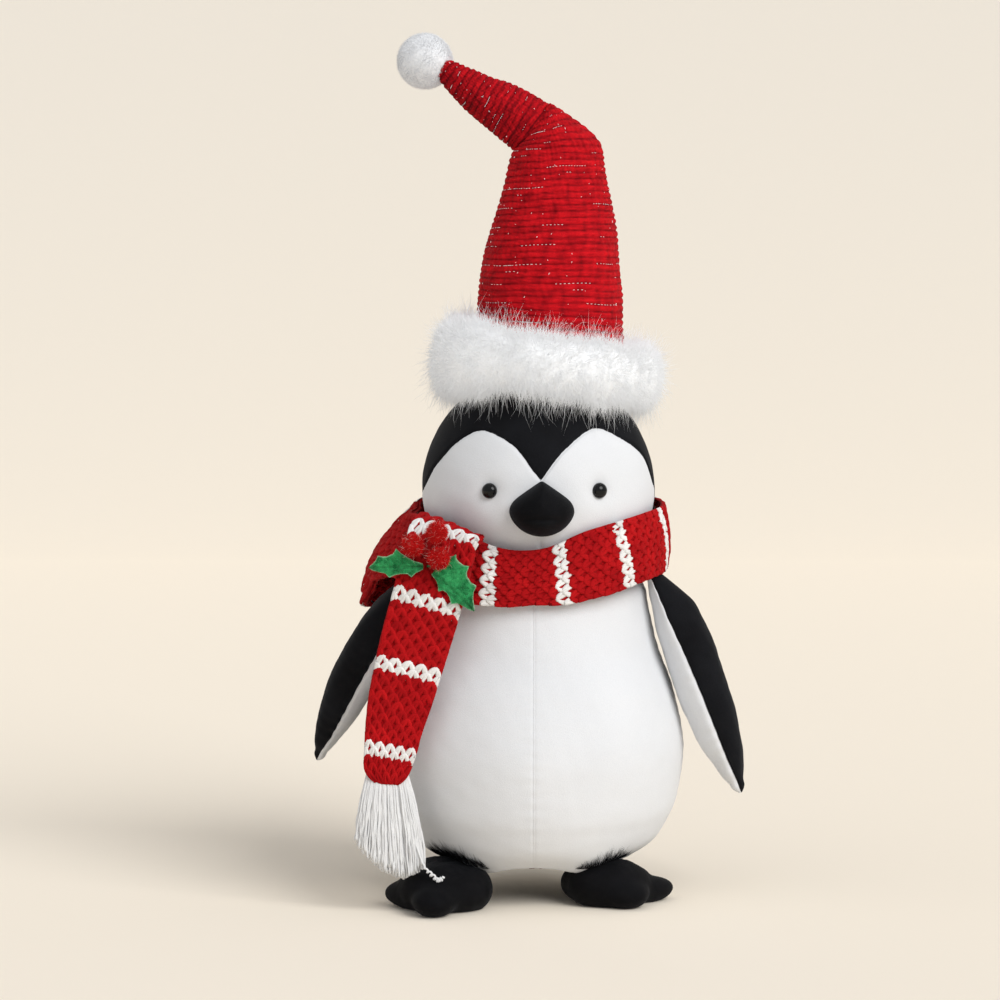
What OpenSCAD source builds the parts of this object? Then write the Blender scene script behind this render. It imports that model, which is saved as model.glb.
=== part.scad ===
// A standing plush penguin with a knitted scarf and a bent, fur-trimmed hat.
// Millimetres, +Z up. The penguin faces -Y. Left and right are as seen from its front.
// Everything is placed about the body's upright axis, and stand() then moves the whole
// penguin so that the box it fills is centred on the origin, with its soles on z = 0.

/* [Body] */
// Radius of the belly at its widest
body_r = 98; // [96:0.5:100]
// Height of the flat base above the floor
base_z = 27; // [26.5:0.5:29]
// Height of the seam between body and head
neck_z = 216; // [215:0.5:217]
// Thickness of the plush cloth
cloth = 1.5; // [1:0.1:1.8]

/* [Head] */
// Radius of the head at its widest
head_r = 75.5; // [74:0.5:76]
// Height of the head's widest level
head_z = 262; // [261:0.5:263]
// Distance of the eyes above the head's widest level
eye_rise = 5; // [4:0.5:7]
// Diameter of an eye
eye_d = 10; // [9:0.5:11]
// Width of the beak
beak_w = 41; // [38:0.5:43]
// How far the beak stands out from the face
beak_out = 24; // [20:0.5:26]

/* [Flippers] */
// Length of a flipper from shoulder to tip
flipper_len = 151; // [145:1:154]
// How far the right flipper hangs out from the vertical
flipper_right_out = 22.5; // [22:0.5:26]
// How far the left flipper hangs out from the vertical
flipper_left_out = 28; // [27.5:0.5:30]
// How far the left flipper is swung towards the back
flipper_left_back = 19.5; // [10:0.5:21]

/* [Feet] */
// Length of a foot from heel to middle toe
foot_len = 100; // [96:1:102]
// Height of a foot under the body
foot_h = 25.2; // [24:0.1:25.4]

/* [Scarf] */
// Thickness of the knitted scarf
knit = 5; // [4:0.25:5.5]
// Number of white stripes round the neck
wrap_stripes = 11; // [9:1:13]
// Width of a white stripe
stripe_w = 7; // [5:0.5:9]
// Radius of a holly berry
berry_r = 7.7; // [7:0.1:8]

/* [Hat] */
// Height of the middle of the fur trim
hat_z = 337; // [336:0.5:338]
// How far the bent tip leans over from the vertical
tip_bend = 54.7; // [45:0.1:58]
// Length of the bent tip from the fold
tip_len = 88; // [84:1:90]
// Radius of the fur pompom
pompom_r = 17.8; // [17:0.1:18]

/* [Hidden] */
$fn = 72;
// The shift that centres the penguin's box on the origin
stand_x = 4.4;
stand_y = 2.9;
// Gap left between a cloth skin and the stuffing inside it
gap = 0.3;
// A cut that runs clear past the faces it goes through
past = 1;

// Body outline: fraction of the widest radius, fraction of the height from base to neck
body_shape = [[0.63, 0], [0.80, 0.05], [0.886, 0.11], [0.957, 0.20], [1.0, 0.38],
    [0.931, 0.56], [0.818, 0.715], [0.758, 0.85], [0.733, 0.92], [0.652, 0.968], [0.55, 1]];
body_outline = [for (p = smooth(body_shape, 3))
    [p[0] * body_r, base_z + p[1] * (neck_z - base_z)]];
base_r = body_outline[0][0];
board_t = 2;
pouch_r = 48;
pouch_h = 24;
pouch_cloth = 1;
pouch_z = base_z + gap + board_t + gap;

// Head: an ellipse of revolution, lower below its widest level than above it
head_x = 3;
head_up = 80;
head_down = 66;
face_x = 4.5;
face_back = 3;
// Upper edges of the two white face patches, from the point between the eyes outwards
brow_left = [[face_x, 274], [-1, 280.6], [-12.3, 295], [-28, 304], [-38, 304], [-50.5, 296],
    [-58, 288], [-65, 279], [-73, 263]];
brow_right = [[face_x, 274], [10.6, 282.5], [18, 291.5], [32.8, 304], [43, 306], [57, 298.5],
    [66, 292], [72, 284], [79, 266]];
patch_side = 90;
patch_low = neck_z - 5;

eye_z = head_z + eye_rise;
eye_yaw_left = -24.5;
eye_yaw_right = 31;
eye_dome = 3.8;
shank_r = 1.8;
shank_len = 14;
washer_r = 7;
washer_t = 1.5;
washer_deep = cloth + 4 * gap;

beak_x = 5;
beak_crease_z = 250.5;
beak_up = 23.5;
beak_down = 12.5;

// Flipper cross-sections from shoulder to tip: fraction of the length, half thickness,
// half width
flipper_sections = [[0, 3.2, 13], [0.08, 6.5, 17], [0.2, 11.5, 21], [0.4, 15, 23.5],
    [0.6, 14.5, 22], [0.75, 12, 18], [0.88, 7.5, 11.5], [0.96, 4, 6], [1, 1.8, 2.2]];
flipper_bow = 4;
shoulder_x = 77;
shoulder_y = -15;
shoulder_z = 207;
flipper_left_twist = 12;
flipper_cloth = 1.3;

// Feet: middle toe tip, and the turn of each foot about the vertical
foot_left_toe = [-62, -85];
foot_right_toe = [60.5, -54];
foot_left_turn = -2;
foot_right_turn = 3;
foot_w = 58;
toe_rise = 4.5;
toe_rise_from = 30;
sole_t = 1.5;
foot_sides = 48;

// Scarf loop: angle from the front towards the right, radius and height of its upper edge,
// radius and height of its lower edge
wrap_stations = [[0, 71.5, 229, 78.5, 195], [40, 76, 234, 80.5, 198], [75, 82, 251, 84.5, 210],
    [110, 83, 257, 84, 214], [150, 83, 262, 83, 218], [195, 83, 262, 83, 217],
    [230, 90, 250, 103, 196], [250, 108, 237, 120, 184], [263, 97, 240, 99, 215],
    [285, 88, 241, 90, 214], [312, 83.5, 244, 87, 199], [340, 75, 232, 80, 195],
    [360, 71.5, 229, 78.5, 195]];
wrap_bulge = 2.5;
wrap_rows = 5;
stripe_first = 13;
stripe_half = stripe_w / 2 / 80 * 57.3;
stripe_turn = 360 / wrap_stripes;

// Scarf strip that crosses the loop and hangs down: height against place, width and yaw
strip_x = [[256, -57], [240, -59], [224, -60], [206, -61], [184, -66], [154, -75.3],
    [127, -81.4], [106, -85.4], [93, -88.5], [86, -89]];
strip_y = [[256, -58], [240, -71.5], [224, -81], [206, -84.5], [184, -83], [86, -82]];
strip_w = [[256, 38], [240, 42], [206, 46], [154, 47], [127, 44], [106, 40], [97, 35],
    [90, 24], [87, 15]];
strip_yaw = [[256, 46], [240, 30], [224, 12], [206, 3], [190, 0]];
strip_top = 256;
strip_fold = 183;
strip_end = 87.5;
crossing_stripes = [244, 200.5];
tail_stripes = [154, 105.5];
strip_cols = 6;
strip_step = 9;

tassel_x = -89;
tassel_y = -82;
tassel_top = 85;
tassel_low = 31;
tassel_sections = [[0, 4, 3.5], [0.12, 8, 6], [0.35, 13, 8], [0.7, 20, 9.5], [0.92, 22.5, 10],
    [1, 19, 8.5]];

holly_y = -88.4;
leaf_t = 1.4;
leaf_len = 36;
leaf_tips = [[0.12, 0.30], [0.42, 0.52], [0.74, 0.42]];
leaf_dip = 0.55;
leaf_left_at = [-67, 221];
leaf_left_turn = 180;
leaf_right_at = [-61, 219];
leaf_right_turn = -49;
berry_y = -96;
berries = [[-75.5, 234.5], [-60.5, 242.5], [-59.5, 226.5]];
stem_r = 0.8;

// Hat: radius against height above the trim, along the hat's own axis
hat_x = 8.5;
hat_lean = 2.6;
hat_outline = [[49.3, -6], [48.5, 10], [47.8, 31.6], [47.2, 55], [45, 82], [37.6, 111], [33, 129]];
hat_cloth = 1.2;
fold_h = 143;
ball_r = 27.5;
hat_fill_low = 7;
hat_fill_top = fold_h - ball_r - 1;
trim_lean = 8.5;
trim_inner = 52.2;
trim_mid = 62.5;
trim_wide = 13.5;
trim_high = 17;
tip_outline = [[26.7, 6.2], [24.4, 17], [18.8, 44], [16.2, 58], [11.2, 76]];
tip_end_r = 4;
wire_r = 1.2;
pompom_out = pompom_r + 2;
thread_r = 0.8;

// ---- helpers ----

// A point on the smooth curve between b and c, with neighbours a and d
function curve(a, b, c, d, t) = 0.5 * (2 * b + (c - a) * t + (2 * a - 5 * b + 4 * c - d) * t * t
    + (3 * b - a - 3 * c + d) * t * t * t);
// A smooth curve through points, with steps pieces between each pair
function smooth(points, steps) = let (last = len(points) - 1) concat(
    [for (i = [0:last - 1]) for (j = [0:steps - 1]) curve(points[max(i - 1, 0)], points[i],
        points[i + 1], points[min(i + 2, last)], j / steps)], [points[last]]);
function reversed(list) = [for (i = [len(list) - 1:-1:0]) list[i]];
// An outline moved sideways by d, towards the axis for an outline that runs upwards
function inset(points, d) = let (last = len(points) - 1) [for (i = [0:last])
    let (run = points[min(i + 1, last)] - points[max(i - 1, 0)])
    points[i] - d * [run[1], -run[0]] / norm(run)];
// Radius of an outline at height z
function radius_at(outline, z) = lookup(z, [for (p = outline) [p[1], p[0]]]);
// Table value at x, read from one column of rows that are sorted by their first column
function table(x, rows, column) = lookup(x, [for (row = rows) [row[0], row[column]]]);
// The outline of the head, inside its surface by d, from the neck upwards
function head_outline(d) = let (low = -asin((head_z - neck_z) / (head_down - d)), n = 22)
    [for (i = [0:n]) let (a = low + (90 - low) * i / n)
        [i == n ? 0 : (head_r - d) * cos(a), head_z + ((a < 0 ? head_down : head_up) - d) * sin(a)]];
// Distance of the head's front surface from its axis plane
function head_face(x, z) = let (v = (z - head_z) / (z < head_z ? head_down : head_up),
    r = head_r * sqrt(max(0, 1 - v * v)), s = x - head_x) sqrt(max(0, r * r - s * s));

module stand() {
    translate([stand_x, stand_y, 0])
        children();
}

// A thin solid between two matching grids of points
module thick_sheet(front, back) {
    rows = len(front);
    cols = len(front[0]);
    all = rows * cols;
    function at(i, j) = i * cols + j;
    function quad(a, b, c, d) = [[a, b, c], [a, c, d]];
    faces = concat(
        [for (i = [0:rows - 2]) for (j = [0:cols - 2])
            each quad(at(i, j), at(i, j + 1), at(i + 1, j + 1), at(i + 1, j))],
        [for (i = [0:rows - 2]) for (j = [0:cols - 2]) each quad(all + at(i, j),
            all + at(i + 1, j), all + at(i + 1, j + 1), all + at(i, j + 1))],
        [for (j = [0:cols - 2]) each quad(at(0, j), all + at(0, j), all + at(0, j + 1),
            at(0, j + 1))],
        [for (j = [0:cols - 2]) each quad(at(rows - 1, j), at(rows - 1, j + 1),
            all + at(rows - 1, j + 1), all + at(rows - 1, j))],
        [for (i = [0:rows - 2]) each quad(at(i, 0), at(i + 1, 0), all + at(i + 1, 0),
            all + at(i, 0))],
        [for (i = [0:rows - 2]) each quad(at(i, cols - 1), all + at(i, cols - 1),
            all + at(i + 1, cols - 1), at(i + 1, cols - 1))]);
    polyhedron([for (row = concat(front, back)) each row], faces, convexity = 8);
}

// A solid through a stack of closed rings that run counter-clockwise seen from +Z,
// from the lowest ring up
module loft(rings) {
    n = len(rings[0]);
    top = len(rings) - 1;
    points = concat([for (ring = rings) each ring], [mean(rings[0]), mean(rings[top])]);
    faces = concat(
        [for (i = [0:top - 1]) for (j = [0:n - 1]) let (a = i * n + j, b = i * n + (j + 1) % n)
            each [[a, a + n, b + n], [a, b + n, b]]],
        [for (j = [0:n - 1]) [len(points) - 2, j, (j + 1) % n]],
        [for (j = [0:n - 1]) [len(points) - 1, top * n + (j + 1) % n, top * n + j]]);
    polyhedron(points, faces, convexity = 6);
}
function mean(list) = [for (i = [0:len(list[0]) - 1]) [for (p = list) p[i]] *
    [for (p = list) 1]] / len(list);

// ---- body ----

// One quarter of the body's skin, starting at an angle about the axis
module body_panel(start) {
    seam = 0.05;
    stand()
        rotate([0, 0, start + seam])
            rotate_extrude(angle = 90 - 2 * seam)
                polygon(concat(body_outline, reversed(inset(body_outline, cloth))));
}

module belly_panel_left() { color("white") body_panel(180); }
module belly_panel_right() { color("white") body_panel(270); }
module back_panel_left() { color("#1b1b1d") body_panel(90); }
module back_panel_right() { color("#1b1b1d") body_panel(0); }

module base_panel() {
    color("#1b1b1d")
        stand()
            translate([0, 0, base_z - cloth])
                cylinder(r = base_r, h = cloth);
}

module base_board() {
    color("tan")
        stand()
            translate([0, 0, base_z + gap])
                cylinder(r = base_r - 2 * cloth, h = board_t);
}

// The pouch's outline, inside its surface by d
function pouch_outline(d) = let (round = pouch_h / 2 - d, mid = pouch_z + pouch_h / 2)
    concat([[0, mid - round]], [for (a = [-90:15:90])
        [pouch_r - pouch_h / 2 + round * cos(a), mid + round * sin(a)]], [[0, mid + round]]);

module ballast_pouch() {
    color("lightgray")
        stand()
            difference() {
                rotate_extrude()
                    polygon(pouch_outline(0));
                rotate_extrude()
                    polygon(pouch_outline(pouch_cloth));
            }
}

module ballast_pellets() {
    color("ivory")
        stand()
            rotate_extrude()
                polygon(pouch_outline(pouch_cloth + 0.1));
}

module body_stuffing() {
    inner = inset(body_outline, cloth + gap);
    skin = [for (p = inner) if (p[1] > pouch_z + gap) p];
    low_r = radius_at(inner, pouch_z);
    room_top = pouch_z + pouch_h + gap;
    color("whitesmoke")
        stand()
            rotate_extrude()
                polygon(concat([[pouch_r + gap, pouch_z], [low_r, pouch_z]], skin,
                    [[0, neck_z - gap], [0, room_top], [pouch_r + gap, room_top]]));
}

// ---- head ----

// The region of the face in front of the ears that one patch covers, seen from the front
module patch_region(brow, side) {
    edge = smooth(brow, 3);
    last = edge[len(edge) - 1];
    translate([0, -face_back, 0])
        rotate([90, 0, 0])
            linear_extrude(height = head_r)
                polygon(concat(edge, [[side, last[1] - 5], [side, patch_low],
                    [face_x, patch_low]]));
}

module head_skin() {
    translate([head_x, 0, 0])
        rotate_extrude()
            polygon(concat(head_outline(0), reversed(head_outline(cloth))));
}

// Places children on the face at an eye, with +Z out of the head
module at_eye(yaw) {
    translate([head_x, 0, eye_z])
        rotate([0, 0, yaw])
            translate([0, -head_face(head_x, eye_z), 0])
                rotate([90, 0, 0])
                    children();
}

module eye_hole(yaw) {
    at_eye(yaw)
        translate([0, 0, -4 * cloth])
            cylinder(r = shank_r + gap, h = 8 * cloth);
}

module face_patch(brow, side, yaw) {
    stand()
        difference() {
            intersection() {
                head_skin();
                patch_region(brow, side);
            }
            eye_hole(yaw);
        }
}

module face_patch_left() { color("white") face_patch(brow_left, -patch_side, eye_yaw_left); }
module face_patch_right() { color("white") face_patch(brow_right, patch_side, eye_yaw_right); }

module head_hood() {
    color("#1b1b1d")
        stand()
            difference() {
                head_skin();
                patch_region(brow_left, -patch_side);
                patch_region(brow_right, patch_side);
            }
}

module head_stuffing() {
    color("whitesmoke")
        stand()
            difference() {
                translate([head_x, 0, 0])
                    rotate_extrude()
                        polygon(concat([[0, neck_z]], head_outline(cloth + gap)));
                for (yaw = [eye_yaw_left, eye_yaw_right])
                    at_eye(yaw)
                        translate([0, 0, -shank_len - gap]) {
                            cylinder(r = shank_r + gap, h = shank_len);
                            translate([0, 0, shank_len - washer_deep - washer_t])
                                cylinder(r = washer_r + gap, h = head_r);
                        }
            }
}

module eye(yaw) {
    color("black")
        stand()
            at_eye(yaw)
                rotate_extrude()
                    polygon(concat([[0, -shank_len], [shank_r, -shank_len], [shank_r, 0.1]],
                        [for (a = [0:10:90]) [eye_d / 2 * cos(a), 0.1 + eye_dome * sin(a)]]));
}
module eye_left() { eye(eye_yaw_left); }
module eye_right() { eye(eye_yaw_right); }

module eye_washer(yaw) {
    color("gainsboro")
        stand()
            at_eye(yaw)
                translate([0, 0, -washer_deep - washer_t])
                    difference() {
                        cylinder(r = washer_r, h = washer_t);
                        translate([0, 0, -past])
                            cylinder(r = shank_r + 0.1, h = washer_t + 2 * past);
                    }
}
module eye_washer_left() { eye_washer(eye_yaw_left); }
module eye_washer_right() { eye_washer(eye_yaw_right); }

// Height of the beak's edge at a sideways fraction u of its half width
function beak_edge(u, up) = up ? beak_up * (1.03 - pow(abs(u), 1.6))
    : beak_down * (0.06 + sqrt(max(0, 1 - u * u)));
// A grid over the upper or lower half of the beak: share of the bulge, and lift off the face
function beak_grid(up, reach, share, lift) = [for (j = [0:6]) [for (i = [-7:7])
    let (u = reach * i / 7, t = reach * j / 6, x = beak_x + u * beak_w / 2,
        z = beak_crease_z + (up ? 1 : -1) * t * beak_edge(u, up),
        bulge = beak_out * sqrt(max(0, 1 - u * u)) * sqrt(max(0, 1 - t * t)))
    [x, -head_face(x, z) - lift - share * bulge, z]]];

module beak_half(up, reach, low, high, low_share, high_share) {
    outside = beak_grid(up, reach, high_share, high);
    inside = beak_grid(up, reach, low_share, low);
    stand()
        thick_sheet(up ? inside : outside, up ? outside : inside);
}
module beak_upper() { color("#18181a") beak_half(true, 0.985, gap, 1.7, 0.92, 1); }
module beak_lower() { color("#18181a") beak_half(false, 0.985, gap, 1.7, 0.92, 1); }
module beak_stuffing() {
    color("whitesmoke") {
        beak_half(true, 0.88, gap / 2, gap / 2, 0, 0.82);
        beak_half(false, 0.88, gap / 2, gap / 2, 0, 0.82);
    }
}

// ---- flippers ----

// Middle of a hanging flipper at a fraction t of its length, bowed outwards
function flipper_mid(t) = [flipper_bow * sin(180 * t), 0, -flipper_len * t];
// A grid over half the flipper's surface, inside it by d; side is 1 outside, -1 inside
function flipper_grid(side, d) = [for (section = smooth(flipper_sections, 2))
    [for (a = [-90:15:90]) flipper_mid(section[0])
        + [side * max(section[1] - d, 0.4) * cos(a), max(section[2] - d, 0.6) * sin(a), 0]]];
function flipper_rings(d) = reversed([for (section = smooth(flipper_sections, 2))
    if (section[0] < 0.97) [for (a = [0:20:340]) flipper_mid(section[0])
        + [(section[1] - d) * cos(a), (section[2] - d) * sin(a), 0]]]);

module flipper_right() {
    stand()
        translate([shoulder_x, shoulder_y, shoulder_z])
            rotate([0, -flipper_right_out, 0])
                children();
}
module flipper_left() {
    stand()
        translate([-shoulder_x, shoulder_y, shoulder_z])
            mirror([1, 0, 0])
                rotate([0, -flipper_left_out, 0])
                    rotate([flipper_left_back, 0, 0])
                        rotate([0, 0, flipper_left_twist])
                            children();
}
module flipper_skin(side) {
    outside = flipper_grid(side, 0);
    inside = flipper_grid(side, flipper_cloth);
    thick_sheet(side > 0 ? outside : inside, side > 0 ? inside : outside);
}
module flipper_left_outer() { color("#1b1b1d") flipper_left() flipper_skin(1); }
module flipper_left_inner() { color("white") flipper_left() flipper_skin(-1); }
module flipper_left_stuffing() {
    color("whitesmoke") flipper_left() loft(flipper_rings(flipper_cloth + gap));
}
module flipper_right_outer() { color("#1b1b1d") flipper_right() flipper_skin(1); }
module flipper_right_inner() { color("white") flipper_right() flipper_skin(-1); }
module flipper_right_stuffing() {
    color("whitesmoke") flipper_right() loft(flipper_rings(flipper_cloth + gap));
}

// ---- feet ----

// How strongly a toe that points along angle toe swells the outline at angle a
function toe_bump(a, toe, wide) = exp(-pow((a - toe) / wide, 2));
// Distance of the foot's outline from its middle at angle a, where -90 is forwards
function foot_reach(a) = let (back = foot_w / 2 / sqrt(pow(cos(a), 2)
    + pow(sin(a) * foot_w / (foot_len * 0.86), 2)))
    back + 8 * toe_bump(a, -90, 13) + 7 * toe_bump(a, -131, 14) + 7 * toe_bump(a, -49, 14)
    - 3 * toe_bump(a, -110, 9) - 3 * toe_bump(a, -70, 9);
// A ring of the foot's upper at a share of its height, inside it by d
function foot_ring(lift, d) = let (spread = pow(max(0, 1 - pow(lift, 2.4)), 0.5))
    [for (i = [0:foot_sides - 1]) let (a = -270 + 360 * i / foot_sides,
        r = (foot_reach(a) - d) * spread, x = r * cos(a), y = r * sin(a),
        front = min(1, max(0, (-y - toe_rise_from) / 15)))
        [x, y, sole_t + gap / 2 + (foot_h + toe_rise * front - sole_t - d) * lift]];
foot_lifts = [0, 0.15, 0.35, 0.55, 0.72, 0.86, 0.95, 0.995];

module at_foot(toe, turn) {
    stand()
        translate([toe[0], toe[1], 0])
            rotate([0, 0, turn])
                translate([0, foot_len * 0.43 + 8, 0])
                    children();
}
// The upper is a shell, open below
module foot_skin() {
    difference() {
        loft([for (lift = foot_lifts) foot_ring(lift, 0)]);
        translate([0, 0, -0.01])
            loft([for (lift = foot_lifts) foot_ring(lift, cloth)]);
    }
}
module foot_sole() {
    linear_extrude(height = sole_t)
        polygon([for (i = [0:foot_sides - 1]) let (a = -270 + 360 * i / foot_sides)
            foot_reach(a) * [cos(a), sin(a)]]);
}
module foot_fill() { loft([for (lift = foot_lifts) foot_ring(lift, cloth + gap)]); }
module foot_left_upper() { color("#18181a") at_foot(foot_left_toe, foot_left_turn) foot_skin(); }
module foot_left_sole() { color("#222222") at_foot(foot_left_toe, foot_left_turn) foot_sole(); }
module foot_left_stuffing() {
    color("whitesmoke") at_foot(foot_left_toe, foot_left_turn) foot_fill();
}
module foot_right_upper() {
    color("#18181a") at_foot(foot_right_toe, foot_right_turn) foot_skin();
}
module foot_right_sole() { color("#222222") at_foot(foot_right_toe, foot_right_turn) foot_sole(); }
module foot_right_stuffing() {
    color("whitesmoke") at_foot(foot_right_toe, foot_right_turn) foot_fill();
}

// ---- scarf ----

// A column of points across the scarf loop at an angle, inside its outer face by d
function wrap_row(angle, d) = let (a = (angle + 720) % 360, s = [for (c = [1:4])
    table(a, wrap_stations, c)]) [for (j = [0:wrap_rows]) let (t = j / wrap_rows,
        r = s[0] + (s[2] - s[0]) * t + wrap_bulge * sin(180 * t) + knit / 2 - d)
        [r * sin(a), -r * cos(a), s[1] + (s[3] - s[1]) * t]];
module wrap_piece(from, to, steps) {
    angles = [for (i = [0:steps]) from + (to - from) * i / steps];
    thick_sheet([for (a = angles) wrap_row(a, knit)], [for (a = angles) wrap_row(a, 0)]);
}

module scarf_wrap_red() {
    color("crimson")
        stand()
            for (k = [0:wrap_stripes - 1])
                wrap_piece(stripe_first + k * stripe_turn + stripe_half,
                    stripe_first + (k + 1) * stripe_turn - stripe_half, 5);
}
module scarf_wrap_white() {
    color("white")
        stand()
            for (k = [0:wrap_stripes - 1])
                wrap_piece(stripe_first + k * stripe_turn - stripe_half,
                    stripe_first + k * stripe_turn + stripe_half, 1);
}

// A row of points across the strip at height z, a distance d behind its front
function strip_row(z, d) = let (yaw = lookup(z, strip_yaw), w = lookup(z, strip_w))
    [for (j = [0:strip_cols]) let (s = w * (j / strip_cols - 0.5), back = d - knit / 2)
        [lookup(z, strip_x) + s * cos(yaw) + back * sin(yaw),
            lookup(z, strip_y) - s * sin(yaw) + back * cos(yaw), z]];
module strip_piece(high, low) {
    steps = ceil((high - low) / strip_step);
    heights = [for (i = [0:steps]) high + (low - high) * i / steps];
    stand()
        thick_sheet([for (z = heights) strip_row(z, 0)], [for (z = heights) strip_row(z, knit)]);
}
// The lengths of strip between the white stripes, from high down to low
module strip_between(high, low, stripes) {
    cuts = concat([high], [for (s = stripes) each [s + stripe_w / 2, s - stripe_w / 2]], [low]);
    for (i = [0:2:len(cuts) - 1])
        strip_piece(cuts[i], cuts[i + 1]);
}
module strip_bands(stripes) {
    for (s = stripes)
        strip_piece(s + stripe_w / 2, s - stripe_w / 2);
}
module scarf_crossing_red() {
    color("crimson") strip_between(strip_top, strip_fold + knit / 2 + gap, crossing_stripes);
}
module scarf_crossing_white() { color("white") strip_bands(crossing_stripes); }
module scarf_tail_red() { color("crimson") strip_between(strip_fold, strip_end, tail_stripes); }
module scarf_tail_white() { color("white") strip_bands(tail_stripes); }

module tassel() {
    color("white")
        stand()
            translate([tassel_x, tassel_y, tassel_top])
                loft(reversed([for (section = smooth(tassel_sections, 2)) [for (a = [0:20:340])
                    [section[1] * cos(a), section[2] * sin(a),
                        section[0] * (tassel_low - tassel_top)]]]));
}

// ---- holly ----

// One edge of a leaf: spikes with hollows between them, side is 1 or -1
function leaf_edge(side) = smooth_hollows(concat([[0, 0.08 * side]],
    [for (tip = leaf_tips) [tip[0], tip[1] * side * 0.5]], [[1, 0]]), side);
function smooth_hollows(points, side) = [for (i = [0:len(points) - 2]) each [points[i],
    [(points[i][0] + points[i + 1][0]) / 2 + 0.02,
        (points[i][1] + points[i + 1][1]) / 2 * leaf_dip + 0.02 * side]]];
module leaf(at, turn) {
    outline = concat(leaf_edge(1), [[1, 0]], reversed(leaf_edge(-1)));
    stand()
        translate([at[0], holly_y, at[1]])
            rotate([90, -turn, 0])
                linear_extrude(height = leaf_t)
                    polygon(leaf_len * outline);
}
module holly_leaf_left() { color("forestgreen") leaf(leaf_left_at, leaf_left_turn); }
module holly_leaf_right() { color("forestgreen") leaf(leaf_right_at, leaf_right_turn); }

module berry(i) {
    color("red")
        stand()
            translate([berries[i][0], berry_y, berries[i][1]])
                sphere(r = berry_r);
}
module holly_berry_1() { berry(0); }
module holly_berry_2() { berry(1); }
module holly_berry_3() { berry(2); }

// The wire that joins the two leaves, behind the berries
module holly_stem_wire() {
    length = leaf_right_at[0] - leaf_left_at[0];
    color("darkgreen")
        stand()
            translate([leaf_left_at[0], holly_y + stem_r + gap / 2, leaf_left_at[1]])
                rotate([0, 90, 0])
                    cylinder(r = stem_r, h = length);
}

// ---- hat ----

module hat_place() {
    stand()
        translate([hat_x, 0, hat_z])
            rotate([0, hat_lean, 0])
                children();
}
// Places children at the fold, with +Z along the bent tip
module tip_place() {
    hat_place()
        translate([0, 0, fold_h])
            rotate([0, -hat_lean - tip_bend, 0])
                children();
}

module hat_cone() {
    outline = smooth(hat_outline, 2);
    color("firebrick")
        hat_place()
            rotate_extrude()
                polygon(concat(outline, reversed(inset(outline, hat_cloth))));
}
module hat_stuffing() {
    wall = inset(smooth(hat_outline, 2), hat_cloth + gap);
    inner = [for (p = wall) if (p[1] > hat_fill_low + gap && p[1] < hat_fill_top - gap) p];
    color("whitesmoke")
        hat_place()
            difference() {
                rotate_extrude()
                    polygon(concat([[0, hat_fill_low], [radius_at(wall, hat_fill_low),
                        hat_fill_low]], inner, [[radius_at(wall, hat_fill_top), hat_fill_top],
                        [0, hat_fill_top]]));
                translate([0, 0, hat_fill_low - past])
                    cylinder(r = wire_r + gap, h = hat_fill_top);
            }
}
module hat_wire() {
    color("silver")
        hat_place()
            translate([0, 0, hat_fill_low])
                cylinder(r = wire_r, h = hat_fill_top - hat_fill_low - gap);
}
module hat_trim() {
    color("white")
        stand()
            translate([hat_x, 0, hat_z + 2])
                rotate([0, trim_lean, 0])
                    rotate_extrude()
                        polygon(concat([[trim_inner, trim_high * 0.6], [trim_inner, -4],
                            [trim_inner + 4, -trim_high * 0.9]], [for (a = [-75:15:105])
                            [trim_mid + trim_wide * cos(a), trim_high * sin(a)]]));
}

// The tip's outline inside its surface by d: a ball at the fold, then a taper
function tip_profile(d) = concat([for (a = [-90:10:10]) [max(0, (ball_r - d) * cos(a)),
    (ball_r - d) * sin(a)]], inset(smooth(tip_outline, 2), d),
    [[tip_end_r - d / 2, tip_len - d], [0, tip_len - d]]);
module hat_tip() {
    color("firebrick")
        tip_place()
            difference() {
                rotate_extrude()
                    polygon(tip_profile(0));
                rotate_extrude()
                    polygon(tip_profile(hat_cloth));
                translate([0, 0, tip_len / 2])
                    cylinder(r = thread_r + gap, h = tip_len);
            }
}
module hat_tip_stuffing() {
    color("whitesmoke")
        tip_place()
            difference() {
                rotate_extrude()
                    polygon(tip_profile(hat_cloth + gap));
                translate([0, 0, -ball_r * 2])
                    cylinder(r = wire_r + gap, h = tip_len * 2);
            }
}
module hat_tip_wire() {
    length = tip_len * 0.9;
    color("silver")
        tip_place()
            translate([0, 0, -ball_r * 0.8])
                cylinder(r = wire_r, h = length);
}

module pompom_place() {
    tip_place()
        translate([0, 0, tip_len])
            children();
}
module pompom() {
    color("white")
        pompom_place()
            translate([0, 0, pompom_out])
                difference() {
                    sphere(r = pompom_r);
                    translate([0, 0, -pompom_r - past])
                        cylinder(r = thread_r + 0.1, h = pompom_r);
                }
}
// The sewing thread that holds the pompom to the tip
module pompom_thread() {
    color("red")
        pompom_place()
            cylinder(r = thread_r, h = pompom_out - pompom_r + pompom_r * 0.6);
}

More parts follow.
